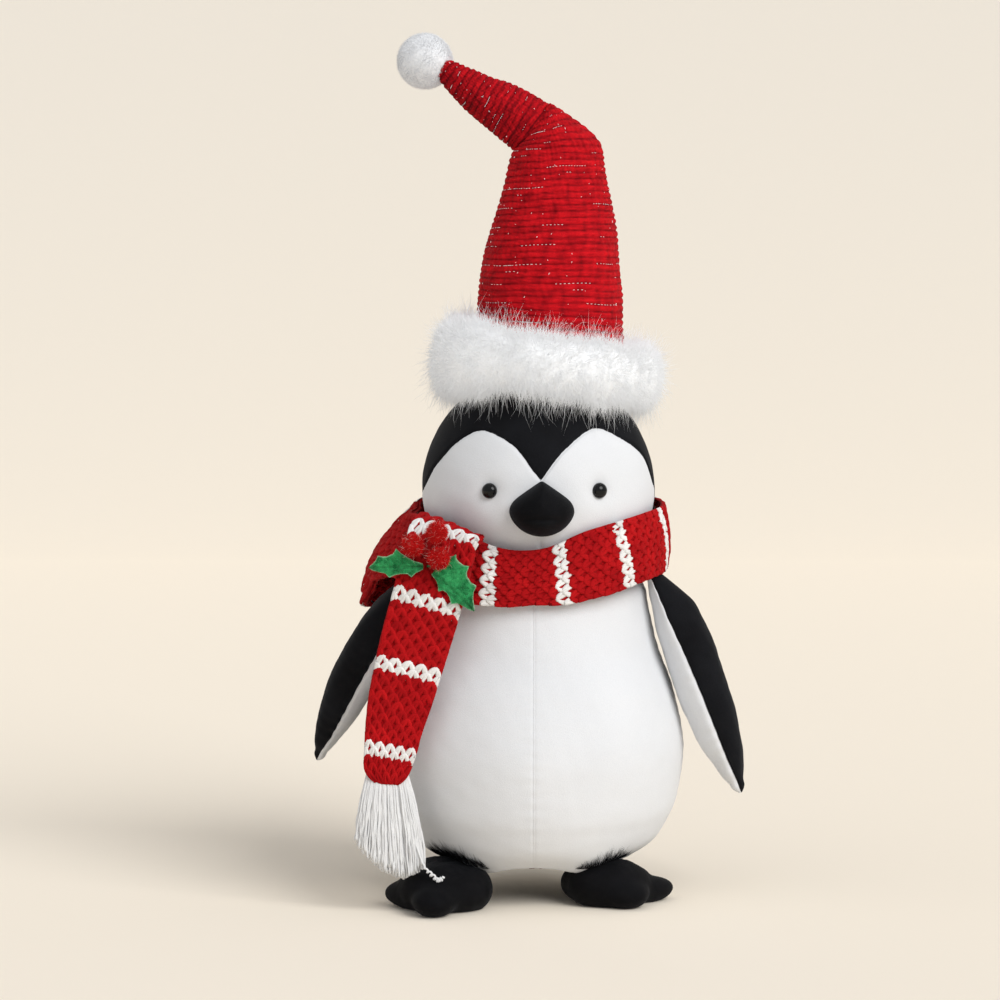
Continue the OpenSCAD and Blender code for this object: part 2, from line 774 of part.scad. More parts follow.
belly_panel_left();
belly_panel_right();
back_panel_left();
back_panel_right();
base_panel();
base_board();
ballast_pouch();
ballast_pellets();
body_stuffing();
head_hood();
face_patch_left();
face_patch_right();
head_stuffing();
beak_upper();
beak_lower();
beak_stuffing();
eye_left();
eye_right();
eye_washer_left();
eye_washer_right();
flipper_left_outer();
flipper_left_inner();
flipper_left_stuffing();
flipper_right_outer();
flipper_right_inner();
flipper_right_stuffing();
foot_left_upper();
foot_left_sole();
foot_left_stuffing();
foot_right_upper();
foot_right_sole();
foot_right_stuffing();
scarf_wrap_red();
scarf_wrap_white();
scarf_crossing_red();
scarf_crossing_white();
scarf_tail_red();
scarf_tail_white();
tassel();
holly_leaf_left();
holly_leaf_right();
holly_berry_1();
holly_berry_2();
holly_berry_3();
holly_stem_wire();
hat_cone();
hat_stuffing();
hat_wire();
hat_trim();
hat_tip();
hat_tip_stuffing();
hat_tip_wire();
pompom();
pompom_thread();
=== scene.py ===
import math

import bpy
import numpy as np
from mathutils import Matrix, Vector


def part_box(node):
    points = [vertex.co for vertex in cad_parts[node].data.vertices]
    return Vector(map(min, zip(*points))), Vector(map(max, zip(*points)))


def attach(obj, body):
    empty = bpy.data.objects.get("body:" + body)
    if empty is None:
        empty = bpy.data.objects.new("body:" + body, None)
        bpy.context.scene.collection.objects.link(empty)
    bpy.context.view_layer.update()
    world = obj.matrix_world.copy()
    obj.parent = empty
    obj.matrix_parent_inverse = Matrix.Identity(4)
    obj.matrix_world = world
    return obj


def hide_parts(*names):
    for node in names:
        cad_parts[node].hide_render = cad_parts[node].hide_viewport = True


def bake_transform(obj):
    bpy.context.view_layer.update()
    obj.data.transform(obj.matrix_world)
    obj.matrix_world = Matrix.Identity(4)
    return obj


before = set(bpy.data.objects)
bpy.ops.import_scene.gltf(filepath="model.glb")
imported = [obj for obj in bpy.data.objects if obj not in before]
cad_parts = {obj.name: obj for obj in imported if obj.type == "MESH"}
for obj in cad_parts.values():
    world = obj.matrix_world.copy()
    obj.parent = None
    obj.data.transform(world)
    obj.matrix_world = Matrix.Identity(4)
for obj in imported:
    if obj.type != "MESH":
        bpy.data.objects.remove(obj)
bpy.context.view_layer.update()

# Shapes below are in millimetres about the body's upright axis, with the penguin facing -Y.
# row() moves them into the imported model's frame, in metres.
MM = 0.001
axis_low, axis_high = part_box("base_panel")
STAND = np.array([(axis_low[0] + axis_high[0]) / 2, (axis_low[1] + axis_high[1]) / 2, 0.0])


def row(points):
    """Millimetres about the body's axis, as metres in the row frame."""
    return np.asarray(points, float) * MM + STAND


# ---- curves, noise and meshes ----


def unit(v):
    """The same directions with length one."""
    return v / np.maximum(np.linalg.norm(v, axis=-1, keepdims=True), 1e-9)


def curve_through(points, count):
    """A smooth curve through points, at count even steps of its parameter."""
    p = np.asarray(points, float)
    x = np.linspace(0, len(p) - 1, count)
    i = np.minimum(x.astype(int), len(p) - 2)
    t = (x - i)[:, None]
    a, b, c, d = p[np.maximum(i - 1, 0)], p[i], p[i + 1], p[np.minimum(i + 2, len(p) - 1)]
    return 0.5 * (2 * b + (c - a) * t + (2 * a - 5 * b + 4 * c - d) * t**2
                  + (3 * b - a - 3 * c + d) * t**3)


def even(points, count):
    """The same line with count points at even distances."""
    along = np.r_[0, np.cumsum(np.linalg.norm(np.diff(points, axis=0), axis=1))]
    s = np.linspace(0, along[-1], count)
    return np.stack([np.interp(s, along, points[:, k]) for k in range(points.shape[1])], 1)


def polar(r, turn, z):
    """Points about the upright axis from a radius, a turn and a height."""
    return np.stack(np.broadcast_arrays(r * np.cos(turn), r * np.sin(turn), z), -1)


def table(x, rows, column=1):
    """A smooth table: rows sorted by their first column, read at x."""
    dense = curve_through(rows, 12 * len(rows))
    order = np.argsort(dense[:, 0])
    return np.interp(x, dense[order, 0], dense[order, column])


def wobble(points, size, seed):
    """Smooth noise from -1 to 1 with features of about size mm."""
    rng = np.random.default_rng(seed)
    total = 0
    waves = 8
    for _ in range(waves):
        d = rng.normal(size=3)
        d *= 2 * math.pi * rng.uniform(0.6, 1.5) / size / np.linalg.norm(d)
        total = total + np.sin(points @ d + rng.uniform(0, 2 * math.pi))
    return total / (waves / 2)


def new_piece(name, points, faces, material, tone=None):
    """A mesh object from points in mm and arrays of triangles and quads."""
    mesh = bpy.data.meshes.new(name)
    points = row(np.asarray(points, float).reshape(-1, 3))
    faces = [np.asarray(f, int) for f in faces if len(f)]
    loops = np.concatenate([f.ravel() for f in faces])
    sizes = np.concatenate([np.full(len(f), f.shape[1]) for f in faces])
    mesh.vertices.add(len(points))
    mesh.vertices.foreach_set("co", points.ravel())
    mesh.loops.add(len(loops))
    mesh.loops.foreach_set("vertex_index", loops.astype(np.int32))
    mesh.polygons.add(len(sizes))
    mesh.polygons.foreach_set("loop_start", np.r_[0, np.cumsum(sizes)[:-1]].astype(np.int32))
    mesh.polygons.foreach_set("use_smooth", np.full(len(sizes), True))
    mesh.update(calc_edges=True)
    mesh.validate()
    if tone is not None:
        values = mesh.attributes.new("tone", "FLOAT", "POINT")
        values.data.foreach_set("value", np.asarray(tone, np.float32).ravel())
    mesh.materials.append(material)
    piece = bpy.data.objects.new(name, mesh)
    bpy.context.collection.objects.link(piece)
    return piece


def grid_quads(rows, cols, wrap=False):
    """Quads over a grid of points, closed round its columns if wrap."""
    i, j = np.meshgrid(np.arange(rows - 1), np.arange(cols if wrap else cols - 1), indexing="ij")
    k = (j + 1) % cols
    return np.stack([i * cols + j, i * cols + k, (i + 1) * cols + k, (i + 1) * cols + j],
                    -1).reshape(-1, 4)


def grid_normals(grid):
    """The outward direction at each point of a grid."""
    return unit(np.cross(np.gradient(grid, axis=1), np.gradient(grid, axis=0)))


def shell(name, outer, depth, material, tone=None):
    """A closed thin piece: a grid of points and its copy depth mm behind."""
    rows, cols = outer.shape[:2]
    inner = outer - grid_normals(outer) * depth
    quads = grid_quads(rows, cols)
    n = rows * cols
    rim = np.r_[np.arange(cols), np.arange(1, rows) * cols + cols - 1,
                (rows - 1) * cols + np.arange(cols - 2, -1, -1), np.arange(rows - 2, 0, -1) * cols]
    after = np.roll(rim, -1)
    sides = np.stack([rim, rim + n, after + n, after], -1)
    points = np.concatenate([outer.reshape(-1, 3), inner.reshape(-1, 3)])
    tones = None if tone is None else np.r_[np.ravel(tone), np.ravel(tone)]
    return new_piece(name, points, [quads[:, ::-1], quads + n, sides], material, tones)


def lathe_rings(rings):
    """Points and faces of a closed body through rings of points, capped at both ends."""
    rows, cols = rings.shape[:2]
    points = np.concatenate([rings.reshape(-1, 3), rings[0].mean(0)[None], rings[-1].mean(0)[None]])
    n = rows * cols
    j = np.arange(cols)
    k = (j + 1) % cols
    low = np.stack([np.full(cols, n), k, j], -1)
    high = np.stack([np.full(cols, n + 1), (rows - 1) * cols + j, (rows - 1) * cols + k], -1)
    return points, [grid_quads(rows, cols, True), low, high]


def tubes(paths, radii, sides, pointed=False):
    """Points and faces of a closed tube round each path. paths: K x n x 3, radii: K x n."""
    count, n = paths.shape[:2]
    forward = unit(np.gradient(paths, axis=1))
    mean = unit(forward.mean(1, keepdims=True))
    pick = np.where(np.abs(mean[..., 2:]) < 0.8, [[[0, 0, 1.0]]], [[[1.0, 0, 0]]])
    a = unit(np.cross(forward, pick))
    b = np.cross(forward, a)
    turn = np.arange(sides) * 2 * math.pi / sides
    ring = a[:, :, None] * np.cos(turn)[:, None] + b[:, :, None] * np.sin(turn)[:, None]
    rings = paths[:, :, None] + ring * np.broadcast_to(radii, (count, n))[:, :, None, None]
    if pointed:
        rings = rings[:, :-1]
    rows = rings.shape[1]
    each = rows * sides + (1 if sides == 3 else 2)
    low = [] if sides == 3 else [paths[:, :1]]
    points = np.concatenate([rings.reshape(count, -1, 3), paths[:, -1:]] + low, 1)
    start = (np.arange(count) * each)[:, None, None]
    quads = (grid_quads(rows, sides, True)[None] + start).reshape(-1, 4)
    j = np.arange(sides)
    k = (j + 1) % sides
    top = (rows - 1) * sides
    high = np.stack([np.full(sides, rows * sides), top + j, top + k], -1)
    if sides == 3:
        base = np.array([[2, 1, 0]])
    else:
        base = np.stack([np.full(sides, rows * sides + 1), k, j], -1)
    tris = np.concatenate([high, base])[None] + start
    return points.reshape(-1, 3), [quads, tris.reshape(-1, 3)], each


def strands(roots, directions, lengths, radius, sag=None, steps=5, sway=0.12, seed=1):
    """Fine pointed hairs: K roots, each a path that bends towards sag and sways a little."""
    rng = np.random.default_rng(seed)
    s = np.linspace(0, 1, steps)[None, :, None]
    lengths = np.asarray(lengths)[:, None, None]
    sag = np.zeros_like(roots) if sag is None else sag
    side = rng.normal(size=roots.shape) * sway
    back = rng.normal(size=roots.shape) * sway
    paths = roots[:, None] + lengths * (directions[:, None] * s + sag[:, None] * s**2
                                        + side[:, None] * np.sin(s * 3) + back[:, None] * s**3)
    radii = np.asarray(radius).reshape(-1, 1) * (1 - 0.7 * np.linspace(0, 1, steps))[None]
    return tubes(paths, radii, 3, pointed=True)


def settle(piece, body, slot, *nodes, fill=None):
    """Parents a piece to the empty of the body that it rides on, and hides the CAD nodes that it stands
    for. slot, the piece's finish, and fill, its stuffing, are not used.
    body is a name, or two names and two points; then the piece is not parented, and only its transform is
    baked into its mesh."""
    if isinstance(body, str):
        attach(piece, body)
    else:
        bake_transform(piece)
    if nodes:
        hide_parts(*nodes)
    return piece


def hairs(name, roots, directions, lengths, radius, finish, slot, body="penguin", tones=None,
          **how):
    """A piece made of fine hairs, each with one tone of its own."""
    points, faces, each = strands(roots, directions, lengths, radius, **how)
    tones = None if tones is None else np.repeat(tones, each)
    return settle(new_piece(name, points, faces, finish, tones), body, slot)


# ---- materials ----


def node(tree, kind, inputs=None, **settings):
    """A shader node: inputs are values or the sockets that they come from."""
    made = tree.nodes.new(kind)
    for key, value in settings.items():
        setattr(made, key, value)
    for key, value in (inputs or {}).items():
        if isinstance(value, bpy.types.NodeSocket):
            tree.links.new(value, made.inputs[key])
        else:
            made.inputs[key].default_value = value
    return made


def rgba(colour):
    """A colour that is fully opaque."""
    return (*colour, 1.0)


def cloth(name, dark, light, roughness, grain, patch, bump, sheen=0.0, sheen_colour=(1, 1, 1),
          tone_dark=None, specular=0.2, metallic=0.0, painted_glow=0.0):
    """A finish whose colour runs from dark to light by fine grain and broad patches, both in mm.
    bump is the fibres' height in mm. With tone_dark, a piece's tone attribute darkens it."""
    material = bpy.data.materials.new(name)
    material.use_nodes = True
    tree = material.node_tree
    shader = tree.nodes["Principled BSDF"]
    place = node(tree, "ShaderNodeTexCoord")
    fine, broad = (node(tree, "ShaderNodeTexNoise", {"Vector": place.outputs["Object"],
                                                     "Scale": 1 / (size * MM), "Detail": detail})
                   for size, detail in ((grain, 3.0), (patch, 2.0)))
    both = node(tree, "ShaderNodeMath", {0: fine.outputs["Fac"], 1: broad.outputs["Fac"]},
                operation="ADD")
    spread = node(tree, "ShaderNodeMapRange", {"Value": both.outputs["Value"], "From Min": 0.75,
                                               "From Max": 1.25})
    # A Mix node has one set of sockets for each data type, so the colour ones are picked by place.
    factor, low, high, result = 0, 6, 7, 2
    colour = node(tree, "ShaderNodeMix", {factor: spread.outputs["Result"], low: rgba(dark),
                                          high: rgba(light)}, data_type="RGBA")
    if tone_dark is not None:
        tone = node(tree, "ShaderNodeAttribute", attribute_name="tone")
        colour = node(tree, "ShaderNodeMix", {factor: tone.outputs["Fac"], low: rgba(tone_dark),
                                              high: colour.outputs[result]}, data_type="RGBA")
    tree.links.new(colour.outputs[result], shader.inputs["Base Color"])
    rough = node(tree, "ShaderNodeMapRange", {"Value": fine.outputs["Fac"],
                                              "To Min": roughness - 0.08,
                                              "To Max": min(1.0, roughness + 0.08)})
    tree.links.new(rough.outputs["Result"], shader.inputs["Roughness"])
    # The glow is painted light: on the furs, the tassel's yarn and the berries' fluff it stands for light
    # that passes on from hair to hair in a dense pile, and on the silver thread it is a painted glint.
    for socket, value in (("Specular IOR Level", specular), ("Metallic", metallic),
                          ("Sheen Weight", sheen), ("Sheen Roughness", 0.4),
                          ("Sheen Tint", rgba(sheen_colour)), ("Emission Color", rgba(light)),
                          ("Emission Strength", painted_glow)):
        shader.inputs[socket].default_value = value
    if bump:
        raised = node(tree, "ShaderNodeBump", {"Height": fine.outputs["Fac"], "Strength": 0.6,
                                               "Distance": bump * MM})
        tree.links.new(raised.outputs["Normal"], shader.inputs["Normal"])
    return material


# Each finish: its name, darkest and lightest colour, roughness, grain, patch and bump.
WHITE_PLUSH = cloth("white_plush_cloth", (0.70, 0.71, 0.725), (0.745, 0.755, 0.77), 0.95, 0.7,
                    60, 0.25, sheen=0.06, specular=0.1)
BLACK_SHEEN = (0.6, 0.65, 0.75)
BLACK_PLUSH = cloth("black_plush_cloth", (0.003, 0.003, 0.004), (0.0075, 0.008, 0.010), 0.85,
                    0.6, 25, 0.2, sheen=0.06, sheen_colour=BLACK_SHEEN, specular=0.12)
BLACK_VELOUR = cloth("black_velour_cloth", (0.0015, 0.0015, 0.002), (0.0045, 0.0045, 0.0055),
                     0.8, 0.5, 14, 0.25, sheen=0.035, sheen_colour=BLACK_SHEEN, specular=0.10)
STUFFING = cloth("fibre_fill", (0.72, 0.72, 0.7), (0.9, 0.9, 0.88), 0.95, 1.5, 12, 0.8)
BOARD = cloth("card_board", (0.42, 0.32, 0.2), (0.6, 0.48, 0.33), 0.85, 0.6, 20, 0.1)
POUCH = cloth("pouch_weave", (0.62, 0.61, 0.58), (0.78, 0.77, 0.74), 0.9, 0.8, 16, 0.25)
PELLETS = cloth("pellet_beads", (0.6, 0.59, 0.52), (0.86, 0.85, 0.8), 0.45, 3.0, 9, 0.9,
                specular=0.5)
WASHER = cloth("washer_moulded", (0.66, 0.66, 0.66), (0.78, 0.78, 0.78), 0.4, 2.5, 10, 0.05,
               specular=0.5)
EYE = cloth("eye_polished", (0.003, 0.003, 0.003), (0.008, 0.008, 0.008), 0.14, 3.0, 8, 0.0,
            specular=0.25)
RED_KNIT = cloth("red_yarn", (0.36, 0.004, 0.006), (0.52, 0.008, 0.010), 0.9, 0.45, 9, 0.45,
                 sheen=0.05, sheen_colour=(1, 0.3, 0.25), tone_dark=(0.25, 0.002, 0.004),
                 specular=0.1)
WHITE_KNIT = cloth("white_scarf_yarn", (0.74, 0.73, 0.70), (0.90, 0.89, 0.87), 0.9, 0.45, 9, 0.35,
                   sheen=0.1, tone_dark=(0.62, 0.58, 0.56))
# The yarn behind is a darker red than the yarn in front: painted shade in the holes between the loops.
KNIT_BACK = cloth("red_yarn_behind", (0.28, 0.003, 0.005), (0.40, 0.005, 0.008), 0.95, 0.8, 8, 0.5,
                  specular=0.05)
# Its glow is painted light, in place of light passed on between the yarns.
WHITE_YARN = cloth("white_tassel_yarn", (0.68, 0.68, 0.68), (0.77, 0.77, 0.765), 0.9, 0.5, 8, 0.25,
                   specular=0.1, tone_dark=(0.62, 0.62, 0.62), painted_glow=0.02)
GREEN_FELT = cloth("green_leaf_felt", (0.006, 0.13, 0.035), (0.05, 0.42, 0.14), 0.92, 0.6, 4, 0.6,
                   sheen=0.15, sheen_colour=(0.4, 1, 0.6), tone_dark=(0.30, 0.62, 0.36),
                   specular=0.1)
# Its glow is painted light that brightens the berries' fluff.
RED_FLUFF = cloth("red_berry_fluff", (0.70, 0.008, 0.008), (0.95, 0.022, 0.018), 0.7, 0.5, 5, 0.2,
                  tone_dark=(0.30, 0.001, 0.002), specular=0.15, painted_glow=0.03)
TINSEL = cloth("tinsel_foil", (0.95, 0.35, 0.28), (1.0, 0.8, 0.75), 0.3, 1.5, 5, 0.0, specular=0.6,
               metallic=0.6)
# Its glow is a painted glint on the metallic thread.
SILVER = cloth("silver_thread", (0.85, 0.80, 0.80), (0.98, 0.94, 0.94), 0.4, 1.0, 5, 0.0,
               specular=0.6, painted_glow=0.12)
WIRE = cloth("drawn_wire", (0.45, 0.45, 0.46), (0.6, 0.6, 0.61), 0.35, 0.4, 8, 0.05, metallic=1.0)
GREEN_WIRE = cloth("green_wrapped_wire", (0.01, 0.08, 0.02), (0.03, 0.16, 0.05), 0.8, 0.5, 5, 0.2)
THREAD = cloth("red_sewing_thread", (0.10, 0.006, 0.008), (0.22, 0.012, 0.014), 0.8, 0.3, 4, 0.15)
# The furs' glow is painted light, in place of light passed on through the dense pile.
FUR = cloth("white_long_fur", (0.77, 0.775, 0.78), (0.83, 0.835, 0.84), 0.9, 1.2, 12, 0.0,
            specular=0.05, painted_glow=0.19)
POMPOM_FUR = cloth("white_short_fur", (0.74, 0.745, 0.755), (0.77, 0.775, 0.785), 0.9, 1.0, 10,
                   0.0, specular=0.0, painted_glow=0.14)
RED_CLOTH = cloth("red_ribbed_cloth", (0.42, 0.003, 0.008), (0.68, 0.007, 0.013), 0.85, 0.6, 7,
                  0.45, sheen=0.03, sheen_colour=(1, 0.4, 0.4), tone_dark=(0.13, 0.001, 0.004),
                  specular=0.1)

# ---- body ----

BODY_R, BASE_Z, NECK_Z = 98.0, 27.0, 216.0
PLUSH_THICK = 1.2
# The body's side as shares of its greatest radius and of its height, from the base up.
BODY_SHAPE = [(0.63, 0), (0.70, 0.010), (0.81, 0.05), (0.886, 0.11), (0.957, 0.20), (1.0, 0.38),
              (0.931, 0.56), (0.818, 0.715), (0.758, 0.85), (0.733, 0.92), (0.652, 0.968),
              (0.55, 1)]
BODY_LINE = even(curve_through([(r * BODY_R, BASE_Z + h * (NECK_Z - BASE_Z))
                                for r, h in BODY_SHAPE], 200), 130)
SEAM_DEEP, SEAM_WIDE = 0.36, 1.1
SAG_DEEP, SAG_HIGH, SAG_TURN, SAG_WIDE = 4.6, 9, 31, 15


def body_sag(turn, z):
    """How far the hem hangs down where the body sits on the feet, at an angle and height."""
    front = np.degrees(turn) - 270
    beside = sum(np.exp(-((front - at) / SAG_WIDE) ** 2) for at in (SAG_TURN, -SAG_TURN))
    return SAG_DEEP * np.exp(-((z - BASE_Z) / SAG_HIGH) ** 2) * beside


def body_panel(name, start, node_name, material, slot, seed):
    """One quarter of the body's skin, puffed between its sewn edges."""
    # The columns lie closer together near the seams.
    t = np.linspace(0, 1, 96)
    share = 0.45 * t + 0.55 * (1 - np.cos(math.pi * t)) / 2
    turn = math.radians(start) + math.radians(90) * share
    r, z = BODY_LINE[:, 0][:, None], BODY_LINE[:, 1][:, None]
    edge = r * np.minimum(turn - turn[0], turn[-1] - turn)[None]
    groove = SEAM_DEEP * np.exp(-(edge / SEAM_WIDE) ** 2)
    pucker = 0.22 * np.sin(z * 0.75 + seed) * np.exp(-edge / 4.5)
    low_seam = 0.8 * np.exp(-((z - BASE_Z) / 1.5) ** 2)
    lip = 1.7 * np.exp(-((z - BASE_Z) / 1.3) ** 2)
    flat = polar(r, turn, z)
    soft = 0.55 * wobble(flat, 75, 5) + 0.12 * wobble(flat, 16, 6)
    grid = polar(r - groove - pucker - low_seam + soft, turn, z - body_sag(turn, z) - lip)
    piece = shell(name, grid, PLUSH_THICK, material)
    return settle(piece, "penguin", slot, node_name, fill=0.9)


for part, start, material, slot, seed in (("belly_left", 180, WHITE_PLUSH, "white_plush", 1),
                                          ("belly_right", 270, WHITE_PLUSH, "white_plush", 1),
                                          ("back_left", 90, BLACK_PLUSH, "black_plush", 2),
                                          ("back_right", 0, BLACK_PLUSH, "black_plush", 2)):
    body_panel(part, start, part.replace("_", "_panel_"), material, slot, seed)


def base_seam():
    """The reddish thread that sews the base panel in."""
    thread_radius, stitches_round = 0.32, 60
    turn = np.linspace(0, 2 * math.pi, 180, endpoint=False)
    path = polar(BODY_LINE[0, 0] - 0.4, turn, BASE_Z - 1.5 + 0.25 * np.sin(turn * stitches_round))
    path = np.concatenate([path, path[:1]])[None]
    points, faces, _ = tubes(path, np.full((1, path.shape[1]), thread_radius), 6)
    settle(new_piece("base_seam_thread", points, faces, THREAD), "penguin", "red_thread")


base_seam()

# ---- head ----

HEAD_X, HEAD_R, HEAD_Z, HEAD_UP, HEAD_DOWN = 3.0, 75.5, 262.0, 80.0, 66.0
FACE_X, BROW_Z, PATCH_END = 4.5, 274.0, math.radians(87.7)
# The brows' edges as x and z, from the point between the eyes outwards.
BROW_LEFT = [(4.5, 274), (-1, 280.6), (-12.3, 295), (-28, 304), (-38, 304), (-50.5, 296),
             (-58, 288), (-65, 279), (-72.45, 263)]
BROW_RIGHT = [(4.5, 274), (10.6, 282.5), (18, 291.5), (32.8, 304), (43, 306), (57, 298.5),
              (66, 292), (72, 284), (78.45, 266)]
EYE_YAW = {"left": -24.5, "right": 31.0}
EYE_Z = 267.0


def head_lift(z):
    """The lift above the head's middle at a height."""
    z = np.asarray(z, float)
    return np.arcsin(np.clip((z - HEAD_Z) / np.where(z < HEAD_Z, HEAD_DOWN, HEAD_UP), -1, 1))


def head_point(turn, lift):
    """A point on the plain head: turn from the front towards the right, lift above its middle."""
    r = HEAD_R * np.cos(lift)
    z = HEAD_Z + np.where(lift < 0, HEAD_DOWN, HEAD_UP) * np.sin(lift)
    return np.stack(np.broadcast_arrays(HEAD_X + r * np.sin(turn), -r * np.cos(turn), z), -1)


def brow_line(points):
    """A brow edge as turn and lift, from the point between the eyes outwards."""
    x, z = curve_through(points, 160).T
    lift = head_lift(z)
    turn = np.arcsin(np.clip((x - HEAD_X) / (HEAD_R * np.cos(lift)), -0.9995, 0.9995))
    return turn, lift


BROWS = {"left": brow_line(BROW_LEFT), "right": brow_line(BROW_RIGHT)}
NECK_LIFT = float(head_lift(NECK_Z))


def head_seams():
    """Points along every seam of the head."""
    lines = [head_point(*BROWS["left"]), head_point(*BROWS["right"])]
    lift = np.linspace(NECK_LIFT, head_lift(BROW_Z), 60)
    lines.append(head_point(np.arcsin((FACE_X - HEAD_X) / (HEAD_R * np.cos(lift))), lift))
    for side in ("left", "right"):
        end = BROWS[side][1][-1]
        lift = np.linspace(NECK_LIFT, end, 60)
        lines.append(head_point(np.full(60, math.copysign(PATCH_END, BROWS[side][0][-1])), lift))
    return np.concatenate(lines)


HEAD_SEAMS = head_seams()
EYE_AT = {side: head_point(np.array(math.radians(yaw)), head_lift(EYE_Z))
          for side, yaw in EYE_YAW.items()}


def head_surface(turn, lift):
    """The head with its sewn grooves, eye dimples and the soft unevenness of the stuffing."""
    p = head_point(turn, lift)
    flat = p.reshape(-1, 3)
    near = np.empty(len(flat))
    batch = 4000
    for k in range(0, len(flat), batch):
        gaps = flat[k:k + batch, None] - HEAD_SEAMS[None]
        near[k:k + batch] = np.sqrt((gaps**2).sum(-1)).min(1)
    near = near.reshape(p.shape[:-1])
    move = -1.0 * np.exp(-(near / 1.25) ** 2) + 0.5 * (1 - np.exp(-near / 6))
    move = move + 0.45 * wobble(p, 60, 11) + 0.1 * wobble(p, 13, 12)
    for side in EYE_AT:
        away = np.linalg.norm(p - EYE_AT[side], axis=-1)
        move = move - 2.3 * np.exp(-(away / 8.5) ** 2)
    return p + unit(p - [HEAD_X, 0, HEAD_Z]) * move[..., None]


def ragged(turn):
    """The small unevenness of a brow's edge."""
    return 0.0028 * np.sin(turn * 95) * np.sin(turn * 41)


def face_patch(side):
    """A white patch of the face, from the neck up to the brow."""
    turn_line, lift_line = BROWS[side]
    turn = np.linspace(turn_line[0], math.copysign(PATCH_END, turn_line[-1]), 104)
    order = np.argsort(turn_line)
    top = np.interp(turn, turn_line[order], lift_line[order]) + ragged(turn)
    t = np.linspace(0, 1, 76)
    t = 0.6 * t + 0.4 * np.sin(t * math.pi / 2)
    lift = NECK_LIFT + (top[None] - NECK_LIFT) * t[:, None]
    grid = head_surface(np.broadcast_to(turn, lift.shape), lift)
    if side == "left":
        grid = grid[:, ::-1]
    piece = shell(f"face_{side}", grid, PLUSH_THICK, WHITE_PLUSH)
    return settle(piece, "penguin", "white_plush", f"face_patch_{side}", fill=0.9)


def hood():
    """The black hood: round the back from the neck up, and over the brows in front."""
    left_turn, left_lift = BROWS["left"]
    right_turn, right_lift = BROWS["right"]
    turn_line = np.r_[left_turn[::-1], right_turn[1:]]
    lift_line = np.r_[left_lift[::-1], right_lift[1:]]
    front = np.linspace(-PATCH_END, PATCH_END, 190)
    order = np.argsort(turn_line)
    edge = np.interp(front, turn_line[order], lift_line[order]) + ragged(front)
    back = np.linspace(PATCH_END, 2 * math.pi - PATCH_END, 150)[1:-1]
    top = math.radians(89)
    t = np.linspace(0, 1, 84)
    t = 0.7 * t + 0.3 * (1 - np.cos(t * math.pi / 2))
    turn = np.r_[front, back]
    # Behind the patches the rows go on from a level that runs from one side to the other.
    share = (back - back[0]) / (back[-1] - back[0])
    start = np.r_[edge, edge[-1] + (edge[0] - edge[-1]) * share]
    upper = start[None] + (top - start[None]) * t[:, None]
    grid = head_surface(np.broadcast_to(turn, upper.shape), upper)
    cols = len(turn)
    quads = [grid_quads(len(t), cols, True)]
    points = [grid.reshape(-1, 3)]
    # Below that level only the back has hood.
    columns = np.r_[len(front) - 1, len(front) + np.arange(len(back)), 0]
    u = np.linspace(0, 1, 40)[:-1]
    base = start[columns]
    lower = NECK_LIFT + (base[None] - NECK_LIFT) * u[:, None]
    skirt = head_surface(np.broadcast_to(turn[columns], lower.shape), lower)
    offset = grid.shape[0] * cols
    width = len(columns)
    quads.append(grid_quads(len(u), width) + offset)
    last = offset + (len(u) - 1) * width + np.arange(width)
    quads.append(np.stack([last[:-1], last[1:], columns[1:], columns[:-1]], -1))
    points.append(skirt.reshape(-1, 3))
    outer = np.concatenate(points)
    piece = new_piece("hood", outer, quads, BLACK_PLUSH)
    thick = piece.modifiers.new("thickness", "SOLIDIFY")
    thick.thickness = PLUSH_THICK * MM
    thick.offset = -1
    apply_modifiers(piece)
    return settle(piece, "penguin", "black_plush", "head_hood", fill=0.9)


def apply_modifiers(piece):
    """Replaces a piece's mesh by what its modifiers make of it."""
    bpy.context.view_layer.update()
    made = bpy.data.meshes.new_from_object(piece.evaluated_get(
        bpy.context.evaluated_depsgraph_get()))
    old = piece.data
    piece.modifiers.clear()
    piece.data = made
    bpy.data.meshes.remove(old)


face_patch("left")
face_patch("right")
hood()


def eye(side):
    """A domed eye on its shank, set into the dimple that its washer pulls."""
    radius, dome_high, foot, sides = 5.0, 4.2, -0.5, 56
    shank = [(0.0, -14.0), (1.8, -14.0), (1.8, -1.9), (4.3, -1.9), (4.9, -1.2)]
    dome = [(radius * math.cos(math.radians(a)), foot + dome_high * math.sin(math.radians(a)))
            for a in np.linspace(0, 90, 18)[:-1]]
    profile = np.array(shank + dome + [(0.02, foot + dome_high)])
    turn = np.arange(sides) * 2 * math.pi / sides
    points, faces = lathe_rings(polar(profile[:, :1], turn, profile[:, 1:]))
    yaw = math.radians(EYE_YAW[side])
    out = np.array([math.sin(yaw), -math.cos(yaw), 0])
    across = np.array([math.cos(yaw), math.sin(yaw), 0])
    points = EYE_AT[side] + points[:, :1] * across + points[:, 1:2] * np.array([0, 0, 1]) \
        + points[:, 2:] * out
    piece = new_piece(f"eye_dome_{side}", points, faces, EYE)
    return settle(piece, "penguin", "eye_plastic", f"eye_{side}")


eye("left")
eye("right")


def beak_height(u, upper):
    """Height of the beak's edge above or below its crease, at a sideways fraction u."""
    u = np.abs(u)
    if upper:
        return 20.3 * (1 - 0.72 * np.sqrt(u**2 + 0.004)) * np.sqrt(np.maximum(0, 1 - u**12))
    return 15.8 * np.maximum(0, 1 - u**2) ** 0.62


